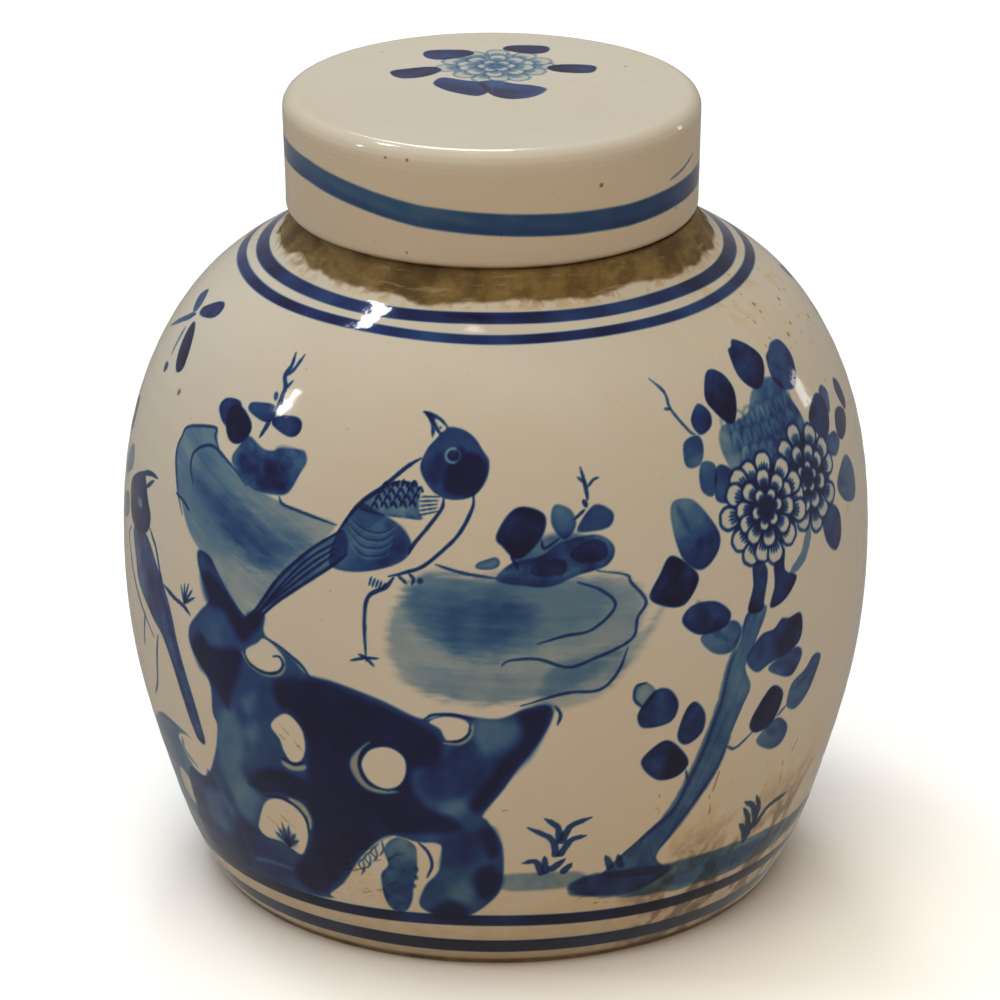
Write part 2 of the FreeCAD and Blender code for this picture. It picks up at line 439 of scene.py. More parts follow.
def paint_streaky_rocks(c):
    """Two flat rocks in pale dry-brush washes with drawn edges."""
    left = [
        (-59.2, 146.8), (-52.2, 150.1), (-49.9, 145.5), (-43, 140), (-38, 138.3), (-31, 136.1),
        (-25, 134.2), (-30, 124.5), (-34, 116.5), (-38.5, 104.5), (-44.5, 111), (-49.9, 116.9),
        (-53.6, 121.5), (-56.4, 127.7), (-58.2, 131), (-60.5, 139.3), (-60.2, 143.5),
    ]
    c.fill(left, 0.42, 0.03, 0.6, 0.2, toward=-62, end=0.24, streak=(-24, 0.3), spread=14)
    c.fill([(-54, 141), (-48, 139), (-38, 132), (-29, 131), (-31, 124), (-38, 119), (-48, 124), (-53, 132)],
           0.26, 0, 5.0, 0.3, streak=(-24, 0.6), ragged=2.0)
    c.fill([(-46, 135), (-34, 130), (-29, 128), (-33, 120), (-38, 119), (-46, 125)],
           0.28, 0, 3.5, 0.3, streak=(-24, 0.7), ragged=3.0)
    for line in (
        [(-55.7, 124.4), (-58.2, 131), (-60.6, 139.3), (-60.2, 143.5), (-59.2, 146.9),
         (-52.4, 150.1), (-51.6, 148), (-49.9, 145.5)],
        [(-54, 133.6), (-55.8, 138.6), (-55.2, 142.5), (-51.4, 145.4), (-46, 142.5), (-42, 139)],
        [(-58.1, 129), (-55.7, 128.1), (-53.9, 126.4)],
        [(-35.4, 138.6), (-34.4, 136.9), (-31, 136.1), (-24.8, 134.5)],
    ):
        c.stroke(line, FINE, 0.72)

    right = [
        (-9, 125.6), (-2.4, 124.2), (8, 124.5), (17.4, 123.3), (20.2, 121), (22.6, 115.5),
        (21.6, 110), (20.6, 105), (17, 101), (14, 95), (8, 91.5), (-2, 89.5), (-9, 91),
        (-14, 95), (-16, 103), (-16, 111), (-13.5, 119),
    ]
    c.fill(right, 0.3, 0, 2.0, 0.15, toward=-90, end=0.22, streak=(-3, 0.2), ragged=1.6, spread=14)
    c.fill([(-12, 123), (0, 124.5), (12, 123), (17, 119), (15, 111), (8, 104), (-6, 103), (-13, 112)],
           0.26, 0, 3.5, 0.25, toward=0, end=0.16, streak=(-3, 0.32), ragged=3.0)
    c.fill([(-9, 115), (-1, 119), (5, 118), (6, 111), (0, 104), (-7, 103)],
           0.3, 0, 4.0, 0.3, streak=(-3, 0.32), ragged=3.0)
    c.fill([(9, 101), (20, 105), (25, 113), (24, 108), (20.5, 99.5), (16, 91.5), (10, 87.5), (6, 89)],
           0.2, 0, 1.8, 0.25, streak=(-3, 0.25), ragged=1.0)
    c.fill([(-14, 100), (4, 98), (18, 102), (17, 94), (4, 90), (-8, 91)], 0.14, 0, 2.0, 0.3,
           streak=(-3, 0.4), ragged=2.4)
    for line in (
        [(-9, 127.2), (-5, 125.3), (0, 124)],
        [(15, 124.7), (19.4, 122.8), (20.2, 120.5), (22.4, 115), (21, 110.9), (20, 105.2),
         (14, 100.9), (10.4, 99.3), (6, 102), (2, 101.8), (0.8, 100.4)],
        [(19.4, 102.9), (18, 96.8), (15.2, 92.2), (10, 92), (3.6, 89)],
        [(6, 106.2), (10, 108), (14, 109.1), (17.6, 114.8), (15.6, 119.4), (12, 122.2)],
    ):
        c.stroke(line, FINE, 0.74)


def paint_bush(c):
    """Dabbed leaves and a thorny twig on the left rock, and a second group on the right one."""
    c.fill([(-45, 151.1), (-43.6, 151.5), (-41.4, 150), (-40, 149.4), (-38.4, 149.7), (-37, 151),
            (-34.4, 151.6), (-32.4, 151.6), (-31.6, 149), (-32.4, 145.6), (-33.4, 141.5), (-34.8, 139.3),
            (-39, 138.5), (-41.4, 139), (-45, 142.2), (-46.4, 144.8), (-45.2, 149.3)],
           0.6, 0.1, 0.4, 0.35, spread=3)
    c.fill([(-45, 147), (-41, 148), (-36, 147), (-33.6, 144), (-35, 140), (-40, 139.6), (-44, 142)],
           0.66, 0, 1.6, 0.4, spread=3)
    for base, tip in (
        ((-38, 150.6), (-33, 150.4)), ((-37.6, 149), (-34, 146.6)), ((-45, 150.4), (-41.6, 148)),
    ):
        c.leaf(base, tip, 3.2, 0.12, rim=0.14)
    for base, tip, width, tone, end in (
        ((-53.2, 156.2), (-47.6, 155.4), 6.8, 0.72, 0.8),
        ((-50.4, 156.6), (-44.6, 150.4), 8, 0.95, 0.95),
        ((-46.4, 158.9), (-40, 158.6), 4.8, 0.66, 0.78),
        ((-40.3, 157), (-34.1, 157.3), 5, 0.85, 0.85),
    ):
        c.leaf(base, tip, width, tone, end)
    for twig, width, tone in (
        ([(-40.7, 157), (-41.8, 152)], (1.6, 1.0), 0.8),
        ([(-40.3, 160.3), (-40.1, 166), (-41.4, 169.6), (-41, 172.5), (-41.6, 176.3)], (1.5, 1), 0.76),
        ([(-41, 169.6), (-40, 172), (-39.4, 176.4)], (1.2, 0.9), 0.7),
        ([(-40, 166.3), (-39.1, 168.8)], (1.1, 0.7), 0.7),
        ([(-41.7, 164.5), (-41.1, 162.6)], 1.3, 0.7),
    ):
        c.stroke(twig, width, tone)
    c.leaf((-40.4, 162), (-39.5, 163), 1.6, 0.8)

    c.fill([(0, 123.6), (2.4, 128), (6.6, 129.6), (9.6, 132.8), (15, 134.2), (17.8, 130.6),
            (16.6, 126), (12, 124), (8, 121.5), (4, 122)], 0.66, 0.12, 0.4, 0.4, spread=4)
    c.leaf((5, 125.5), (10.5, 127), 4.5, 0.6)
    c.leaf((11, 129.5), (16.8, 130), 5.5, 0.7)
    c.fill([(0, 135), (2, 140.8), (4.4, 142.4), (7.4, 140), (6.8, 134.4), (3.4, 129), (1, 132.2)],
           0.93, 0.05, 0.4)
    c.fill([(9, 142.5), (11.4, 141.1), (12.1, 137), (10.2, 133.6), (8.4, 137.9)], 0.46, 0.2, 0.4,
           end=0.6, toward=-90)
    c.fill([(12.4, 136.5), (15.2, 141.8), (18, 139.4), (17.2, 135.8), (13.2, 135.1)], 0.66, 0.1, 0.4)
    c.fill([(3, 131), (7, 134.6), (12, 135), (13.6, 132), (8, 128.6), (3.4, 127)], 0.5, 0, 1.2, 0.4)
    c.leaf((-3, 127), (0.5, 128.4), 2.8, 0.4, rim=0.4)
    for twig, width, tone in (
        ([(14.2, 143.3), (14, 147.5), (13.5, 151.8)], (1.2, 0.8), 0.78),
        ([(14.4, 146.5), (15.4, 148.2), (16.3, 148.7)], 0.8, 0.7),
        ([(14, 147.6), (12.9, 149.3)], 0.7, 0.7),
        ([(14, 141.5), (13.5, 143.3)], 1.2, 0.8),
        ([(12, 138.6), (13.6, 140.8)], 0.9, 0.8),
        ([(6.8, 133.6), (7.2, 131.5), (9.4, 133.8)], FINE, 0.8),
        ([(2.2, 130), (3.2, 126.5)], 1.0, 0.85),
    ):
        c.stroke(twig, width, tone)


def paint_main_bird(c):
    """The bird on the rock: head, back, scaled shoulder, striped tail, breast line and legs."""
    head = [
        (-12.1, 151.3), (-11.4, 156.4), (-9.9, 159.7), (-8.3, 162.6), (-5.7, 162.3), (-3.6, 160.2),
        (-2.2, 157), (-1.1, 154), (-1.6, 149.5), (-3.4, 145.4), (-6.6, 144.1), (-9.6, 145.6),
    ]
    c.fill(head, 0.72, 0.06, 0.3, 0.15, spread=5)
    c.fill([(-7.8, 152.6), (-4.6, 156.4), (-2.2, 155), (-1.4, 152), (-2.2, 148), (-4.4, 145.2), (-8, 146.4)],
           0.84, 0, 0.9, 0.15)
    c.fill([(-11, 153), (-8.6, 156), (-8.2, 151), (-9.6, 147.6)], 0.4, 0, 1.4)
    c.stroke([(-12.6, 166.4), (-11, 165.7), (-9.6, 164.7), (-8.2, 162.7)], (1.1, 0.8), 0.8)
    c.stroke([(-12.2, 166.1), (-10.9, 164.6), (-10, 162.5), (-9.4, 160.8)], (1.4, 1.1), 0.85)
    c.stroke([(-11.7, 165.5), (-10.8, 163), (-10.6, 160)], (1.0, 0.9), 0.75)
    c.erase([(-10.6, 164.5), (-9.3, 163.8), (-8.5, 162.1), (-9.4, 161.6)], 0.25, 0.2)
    c.dab((-9.4, 162.5), 0.3, 0.8, 0.25, "cobalt")
    eye = (-7.0, 155.4)
    for radius, level in ((2.15, 0.35), (1.45, 0.85)):
        around = np.linspace(0, 2 * np.pi, 12, endpoint=False)
        ring = np.stack([eye[0] + radius * np.cos(around) / 1.55, eye[1] + radius * np.sin(around)], 1)
        if level < 0.5:
            c.erase(ring, 0.42, 0.3)
        else:
            c.fill(ring, level, 0, 0.25)
    c.fill([(-6.4, 157.6), (-5, 157), (-5, 153), (-6.4, 153)], 0.6, 0, 0.5)

    c.stroke([(-12.2, 154.2), (-14.4, 151.6), (-18, 145.8), (-21.4, 140.8), (-24.4, 132.9)], 1.1, 0.85)
    body = [(-24.4, 133), (-21.4, 140.8), (-18.5, 139.5), (-15, 137), (-12.8, 132.6), (-13.6, 128),
            (-17.5, 124.6), (-22.4, 122.9), (-25.5, 124.5)]
    c.fill(body, 0.62, 0.08, 0.35, 0.2, streak=(40, 0.2), spread=5)
    c.fill([(-17, 137), (-14, 136), (-13.4, 131), (-15, 127), (-18, 126), (-16, 132)], 0.4, 0, 1.0)
    for drop in (0, 2.2, 4.4, 6.6):
        feather = [(-22.6 + 0.1 * drop, 137 - drop), (-20, 134.6 - drop), (-17.4, 134.4 - drop * 0.9),
                   (-15.4 - 0.1 * drop, 136.4 - drop)]
        c.erase(feather + [(x, y - 0.9) for x, y in feather[::-1]], 0.72, 0.5)
        c.stroke([(x, y - 0.2) for x, y in feather], 0.6, 0.6, soft=0.25)
    coverts = [(-21.2, 141), (-17, 147), (-14, 148), (-12, 146.2), (-11, 139.2), (-14, 138.6), (-20, 139)]
    c.fill(coverts, 0.42, 0.35, 0.3, 0.5, spread=2)
    for row in range(4):
        for step in range(6):
            a = -19.4 + row * 0.5 + step * 1.5
            s = 140.4 + row * 1.8 + step * 0.35
            if a < -11.4 and s < 147:
                c.stroke([(a, s), (a + 0.5, s + 1.3), (a + 1.1, s - 0.2)], 0.75, 0.85, soft=0.18)
    for tip in range(5):
        c.stroke([(-16.6 + tip * 0.9, 146.6), (-16.2 + tip * 0.8, 148.4 - abs(tip - 2) * 0.5)], 0.8, 0.8)
    patch = [(-11.7, 145.2), (-9.4, 145.4), (-8.8, 143.4), (-9, 140.4), (-11, 138.8), (-11.9, 141.5)]
    c.erase(patch, 0.12, 0.25)
    for i in range(5):
        c.stroke([(-11.8, 139.6 + i * 1.2), (-9 + 0.05 * i, 140.9 + i * 0.95)], 0.5, 0.7, soft=0.15)

    tail = [(-23.6, 133.4), (-26.8, 129.6), (-30.2, 124.4), (-34, 117.2), (-37, 109.4), (-39.2, 104.4),
            (-37.4, 104.6), (-34, 110.8), (-30, 116.6), (-27, 120.8), (-24.6, 124.2), (-22.6, 127.6)]
    c.fill(tail, 0.5, 0.2, 0.35, 0.25, streak=(58, 0.25), spread=5)
    c.stroke(tail[:6], 0.9, 0.8)
    c.stroke(tail[6:], 0.9, 0.8)
    for share in (0.25, 0.5, 0.75):
        start = (-24.6 - 0.2 * share, 131.6 - 6.4 * share)
        middle = (-30.2 + 0.1 * share, 124 - 7.2 * share)
        c.stroke([start, middle, (-38.2, 105.2)], (0.9, 0.6), 0.8)
    c.dab((-38.6, 103.4), 2.4, 0.8, 0.8, "cobalt")
    for chest in (
        [(-8.1, 144.3), (-8.4, 141.5), (-10.4, 136.5), (-12.4, 131.9), (-13, 129.4)],
        [(-3.5, 145.8), (-3.6, 142.2), (-5.4, 135.8), (-7.6, 131.5), (-10.8, 126.5), (-13.6, 124.4),
         (-16, 123)],
    ):
        c.stroke(chest, 0.95, 0.82)
    c.stroke([(-15.2, 122.8), (-16.4, 120.1), (-19, 116.9), (-19.5, 110.1), (-19.2, 99.3)],
             (1.3, 0.9), 0.8)
    for i in range(5):
        c.stroke([(-18.6 + i * 0.55, 122.4 - i * 0.3), (-18.9 + i * 0.5, 120 - i * 0.2)], 0.6, 0.75)
    for toe in ((-21.7, 98.8), (-17.3, 100.4), (-18, 98.1), (-20.4, 100.9)):
        c.stroke([(-19.2, 100.2), toe], (0.9, 0.6), 0.8)
    c.stroke([(-13, 124.4), (-12.2, 123), (-12.4, 121.5)], 0.8, 0.78)
    c.dab((-11.2, 122.6), 0.8, 0.75, 0.4, "cobalt")
    c.stroke([(-14.6, 123.6), (-13.2, 121.6)], 0.8, 0.75)


def paint_scholars_rock(c):
    """The tall dark pierced rock that stands on the ground line."""
    upper = [
        (-50.8, 116.9), (-49.9, 111), (-47.6, 105.5), (-50.2, 100), (-52.8, 94), (-52.4, 88.3),
        (-48.5, 80.8), (-48.6, 71.5), (-48, 67.5), (-50.2, 57.6), (-55, 47.2), (-61, 46),
        (-64, 34), (-62, 19), (-32.6, 19), (-28, 24.7), (-24.4, 32.6), (-21, 40.8), (-17.2, 46.5),
        (-12.4, 45.2), (-9, 44.9), (-9.4, 36), (-12, 29.7), (-13.2, 22.6), (-10, 19.8), (-5, 20.1),
        (-1.2, 25.1), (0.9, 31.5), (1, 44.7), (-1.2, 53.2), (-2, 55.9), (1, 63.7), (3.4, 70.8),
        (6.4, 78.3), (8.3, 86), (7.2, 89), (4, 87.9), (0, 85.3), (-6.8, 86.5), (-11, 84.5),
        (-17.2, 88.8), (-24, 91.7), (-28.8, 92.5), (-31.4, 96.1), (-36.2, 100.6), (-36.3, 106.4),
        (-38.4, 106.6), (-40, 104.3), (-43, 108.4), (-46, 113.7), (-48, 117),
    ]
    c.fill(upper, 0.7, 0.06, 0.5, 0.2, spread=9)
    for light in (
        [(-49.4, 59), (-48, 68), (-45, 76), (-42.4, 72), (-42.4, 64), (-43.6, 58), (-44, 51), (-47.6, 44)],
        [(-41.6, 79), (-39, 83), (-38.4, 80), (-40.4, 75.4)],
        [(-41.6, 70.4), (-39, 74.4), (-38.2, 71.4), (-40.4, 67)],
        [(-46.4, 47.4), (-43.4, 53), (-41, 50), (-43, 42.4), (-45.4, 38.6), (-48, 41.4)],
        [(-2.4, 85), (0.4, 85.2), (3.4, 83.2), (1.8, 78), (-1.8, 74.4), (-3.4, 77)],
        [(-8.6, 56.4), (-6.4, 60.4), (-4.2, 59), (-4.6, 56), (-7, 54.6)],
        [(-8, 29), (-5.4, 32.6), (-3.6, 29), (-4.6, 25), (-7, 25.4)],
        [(-58, 40), (-52, 44), (-49, 38), (-52, 30), (-58, 30)],
    ):
        c.erase(light, 0.7, 2.4)
    for dark in (
        [(-34, 89.5), (-29.5, 91), (-26, 91.5), (-20.5, 89.5), (-14, 85.5), (-10.5, 82), (-8, 78.5),
         (-9, 71), (-12.4, 69), (-12.6, 63), (-10.6, 57.4), (-6.6, 54), (-5.4, 50.5), (-9.5, 48.6),
         (-14, 47.6), (-17.6, 46), (-20.6, 42.5), (-23.4, 37), (-26.6, 29), (-30, 23), (-33, 20.4),
         (-36.4, 22), (-37, 27), (-33, 35.5), (-30.8, 44), (-31.4, 52), (-30.4, 60), (-29.6, 68),
         (-29.8, 75), (-31.8, 80), (-34, 81), (-35, 86)],
        [(-43, 52.5), (-41, 56.8), (-37.5, 60.4), (-33.6, 61), (-30.5, 59.5), (-30.6, 55), (-32.6, 52),
         (-36, 53), (-40, 51)],
        [(-52, 90), (-50, 94), (-47.5, 92), (-41, 94), (-41.4, 88), (-43.8, 79), (-44.6, 75),
         (-46.6, 77.6), (-48.4, 82), (-50.8, 84.4)],
        [(3.4, 86.6), (7.5, 88.8), (7.8, 85.5), (5.5, 75.4), (3.2, 70.4), (0.8, 65.6), (-2.6, 56),
         (-4, 59.6), (-1.6, 66), (0.6, 72.5), (3.8, 80)],
        [(-49.6, 111), (-46, 112), (-40, 103.6), (-38, 105.4), (-36.8, 104), (-40.6, 96.6), (-44, 103),
         (-48, 104)],
        [(-3, 36.5), (-0.6, 38.5), (0.9, 33), (-0.5, 28), (-2.5, 27), (-3.5, 31.5)],
        [(-11, 22), (-8, 25.5), (-5, 23), (-5.4, 19.4), (-9, 18.4), (-11.2, 19.6)],
        [(-2.6, 50), (-0.4, 51), (0.4, 44), (-1, 41)],
    ):
        c.fill(dark, 0.82, 0, 1.7, 0.15, spread=6)
    c.fill([(-12, 64), (-10.4, 70.4), (-7.4, 74), (-5, 81), (-2.6, 77), (-1.4, 67), (-4.4, 62), (-9.4, 60.4)],
           0.42, 0, 2.0, 0.3)
    c.fill([(-9, 47), (-3, 50), (-1.6, 44), (-5, 38), (-9, 38)], 0.4, 0, 2.4, 0.3)
    c.fill([(-50, 36), (-44, 36), (-40, 31), (-37, 24), (-42, 20), (-52, 20)], 0.4, 0, 3.0, 0.3)
    c.erase([(-46.5, 24), (-43, 25.4), (-38, 25.8), (-38, 26.9), (-43, 26.8), (-46.6, 25.4)], 0.7, 0.8)

    holes = (
        [(-40, 94.6), (-37.8, 97.6), (-36.4, 99.6), (-34.2, 98), (-32.6, 94.6), (-33.8, 91.4),
         (-36, 90), (-39, 91.4)],
        [(-36, 74.6), (-33.8, 78.8), (-32, 79), (-30.2, 75.4), (-30, 70), (-31, 66), (-32.8, 64.8),
         (-34, 67.4), (-34.6, 71)],
        [(-20.5, 69.6), (-19.2, 73.3), (-17, 75), (-15, 74.4), (-13.6, 71.6), (-13.8, 66.6),
         (-15.2, 63), (-17.4, 62), (-19.4, 63.6), (-20.4, 66.6)],
        [(-9.8, 83.8), (-7.6, 85.6), (-4.6, 84.8), (-3.8, 82), (-5, 79.4), (-7.2, 78.6), (-8.2, 81.8)],
        [(-40.5, 47), (-38.6, 49.8), (-36, 50.8), (-33.6, 49.2), (-32.2, 45.6), (-32.4, 40),
         (-34.4, 33.2), (-36.6, 34), (-38.8, 35.4), (-42, 35.2), (-43.4, 37.4), (-42.4, 41.4)],
        [(-16.2, 46.4), (-18, 41.5), (-18.6, 36), (-19, 29.5), (-18.5, 24), (-19.4, 20), (-25, 20.4),
         (-30.4, 20.6), (-26.6, 27), (-23, 36.5), (-20, 41.6), (-17.6, 45)],
        [(-12.8, 44.8), (-11, 44.6), (-8.8, 44.8), (-9.2, 40.5), (-10.2, 36), (-12, 31), (-14, 26),
         (-15, 21.8), (-15.6, 26), (-13.2, 33), (-12.6, 37.5), (-13, 41)],
    )
    crescents = (
        [(-40.8, 94), (-39.4, 90.4), (-36.4, 89), (-33.6, 90.2), (-32.6, 93.4), (-35, 91), (-38, 91.4)],
        [(-34.6, 64.2), (-32.5, 63.6), (-30.4, 64.8), (-30.6, 63.2), (-33, 62), (-34.6, 63)],
        [(-19, 76), (-21.5, 72), (-22.5, 68), (-21.6, 63.5), (-20, 60.9), (-17.5, 60.3), (-15, 61.4),
         (-17, 61.8), (-19.6, 63), (-20.8, 66.6), (-20.8, 71)],
        [(-7.8, 77.8), (-5.2, 77.4), (-3.6, 80), (-3.4, 83.6), (-4.6, 80.4), (-6, 78.6)],
        [(-34.4, 52.4), (-32, 51.2), (-30.9, 47), (-31.6, 43), (-32.6, 48), (-34.6, 50.8)],
    )
    for hole in holes:
        c.erase(hole, 0.0, 0.4)
    for crescent in crescents:
        c.erase(crescent, 0.22, 0.6)
        c.tint(crescent, 0.5, 0.8)
    for line in (
        [(-40.5, 94), (-39.2, 91), (-36.5, 89.8), (-34, 91), (-33, 93.6), (-33.6, 95.6), (-34.8, 95.2)],
        [(-36, 100), (-33, 98), (-30, 95), (-28.4, 92)],
        [(-34.7, 65.2), (-32.5, 64.2), (-30.4, 65.6)],
        [(-15.4, 76.3), (-18, 75.8), (-20, 73.4), (-21, 69), (-20.5, 64.7), (-19, 62.2), (-16.4, 61.4)],
        [(-10.5, 84.5), (-9, 86), (-6, 86.2), (-3.5, 85)],
        [(-7.4, 78.2), (-5.4, 78.6), (-4, 80.8), (-3.8, 83.4)],
        [(-40, 50), (-36.5, 51.5), (-33.5, 50), (-32, 46.5), (-32, 41.5)],
        [(-12.5, 45.2), (-11, 42), (-10.5, 37.5), (-11.5, 33)],
        [(8.6, 88.6), (9.4, 86), (9, 83)],
    ):
        c.stroke(line, 0.85, 0.78)
    for tip in ((-39.6, 38.3), (-38.6, 40.4), (-37.4, 42.6), (-36, 42.2), (-35, 39.8), (-34.6, 37.6)):
        c.stroke([(-37, 34.6), ((tip[0] - 37) / 2, (tip[1] + 35.4) / 2), tip], (1.5, 0.7), 0.6, soft=0.3)
    c.fill([(-39.4, 37), (-37, 40.6), (-35, 39), (-35.4, 35), (-37.4, 34.4)], 0.22, 0, 0.8, 0.5, spread=1.5)
    leg = [(-17, 45), (-15, 46), (-13, 43.5), (-13, 37.5), (-13.2, 34), (-14, 30), (-14.5, 24.5),
           (-16, 20), (-18.4, 20.2), (-19.5, 24.5), (-19.5, 32), (-18, 36), (-18.4, 41)]
    c.fill(leg, 0.5, 0.1, 0.4, 0.35, toward=-90, end=0.72, spread=4)
    for i in range(7):
        foot = (-23.2 + 0.65 * i, 31 + 1.3 * i)
        lean = 0.8 * (-1) ** i
        c.stroke([foot, (foot[0] + lean, foot[1] + 2.4), (foot[0] + 0.7, foot[1] + 5.4)], 0.6, 0.5)
    for spot in ((-13.2, 35.6), (-13.4, 32.6), (-13.9, 29.6)):
        c.dab(spot, 0.5, 0.7, 0.5, "cobalt", 1.4)


def paint_far_left(c):
    """What lies round the left side: a further rock, a second bird, a branch and an insect."""
    c.fill([(-71, 56), (-65.4, 59.4), (-56.8, 58), (-54, 51), (-52, 44), (-50, 19.5), (-78, 19.5),
            (-80, 34), (-77, 48)], 0.52, 0.15, 0.5, 0.35, spread=9)
    c.erase([(-62, 55), (-59, 58), (-55.4, 57.4), (-53.2, 53), (-56, 46.4), (-59.4, 48)], 0.0, 0.5)
    c.erase([(-68.6, 38), (-66, 42.6), (-62.4, 39), (-61.8, 35), (-64.6, 31), (-67.8, 33)], 0.15, 0.8)
    c.stroke([(-60.4, 56), (-60.8, 52), (-57.4, 48.6)], 1.4, 0.35, soft=0.5)

    c.fill([(-72.3, 126.4), (-76, 122.7), (-77, 119), (-75.3, 112.7), (-71.8, 110.2), (-66.7, 112.7),
            (-65.6, 117.7), (-67.4, 121.9), (-70, 127)], 0.84, 0.08)
    c.erase([(-71.8, 119.4), (-70, 119.6), (-69.8, 117.6), (-71.4, 117.4)], 0.5, 0.3)
    c.stroke([(-70.6, 127.2), (-67.5, 128.8), (-64.6, 129.2)], (1.8, 0.8), 0.85)
    c.stroke([(-68.5, 124.6), (-65.8, 127.8)], (1.6, 0.8), 0.8)
    body = [(-73.2, 110), (-72, 103.6), (-70, 95.8), (-65, 90.1), (-61, 85.8), (-58, 76.9),
            (-55.6, 64.5), (-54.4, 59.6), (-52.4, 60), (-53.2, 70.9), (-56, 85.1), (-58.4, 97.2),
            (-62.5, 106), (-67, 112)]
    c.fill(body, 0.7, 0.15, 0.4, 0.3, streak=(-62, 0.4), spread=5)
    for line, width, tone in (
        ([(-65.6, 114.7), (-63, 110.8), (-61.4, 105.1), (-60.4, 102.2)], 1.0, 0.8),
        ([(-75, 109.3), (-76.2, 105), (-73.4, 96.5), (-70, 90.5), (-64.8, 83.7)], 1.0, 0.75),
        ([(-63, 85.5), (-64.2, 79.4), (-66, 69.8), (-68.8, 63.8)], 0.9, 0.72),
        ([(-68, 89), (-69.4, 81.2), (-70, 77.7)], 0.9, 0.72),
        ([(-60, 101.9), (-57, 100.4), (-54, 99.4), (-52.4, 97.9)], (1.4, 1.0), 0.78),
    ):
        c.stroke(line, width, tone)
    for tip in ((-54.8, 105.1), (-53.8, 106), (-52.8, 106.5), (-51.8, 105.4), (-51.2, 103.6)):
        c.stroke([(-54, 100.4), tip], (1.0, 0.6), 0.74)
    leaves = (
        ((-90, 134), (-84, 135), 9, 0.9, 0.9),
        ((-83.5, 120), (-78, 128.5), 7, 0.4, 0.4),
        ((-85, 109), (-77, 114), 7, 0.36, 0.36),
    )
    wings = (
        ((-77.4, 172.6), (-69.4, 177.2), 5.2, 0.82, 0.82),
        ((-76.3, 169), (-69.4, 157.2), 6.0, 0.86, 0.86),
        ((-79, 171), (-84, 175.6), 5, 0.6, 0.75),
    )
    for base, tip, width, tone, end in leaves + wings:
        c.leaf(base, tip, width, tone, end)
    c.stroke([(-78.2, 170.4), (-82, 166.6), (-88.1, 160.6)], (2.6, 1.4), 0.7)
    c.stroke([(-78.2, 166), (-76.7, 158)], (1.6, 1.2), 0.45)
    c.leaf((-77.4, 155.4), (-75.4, 154), 2.2, 0.7)


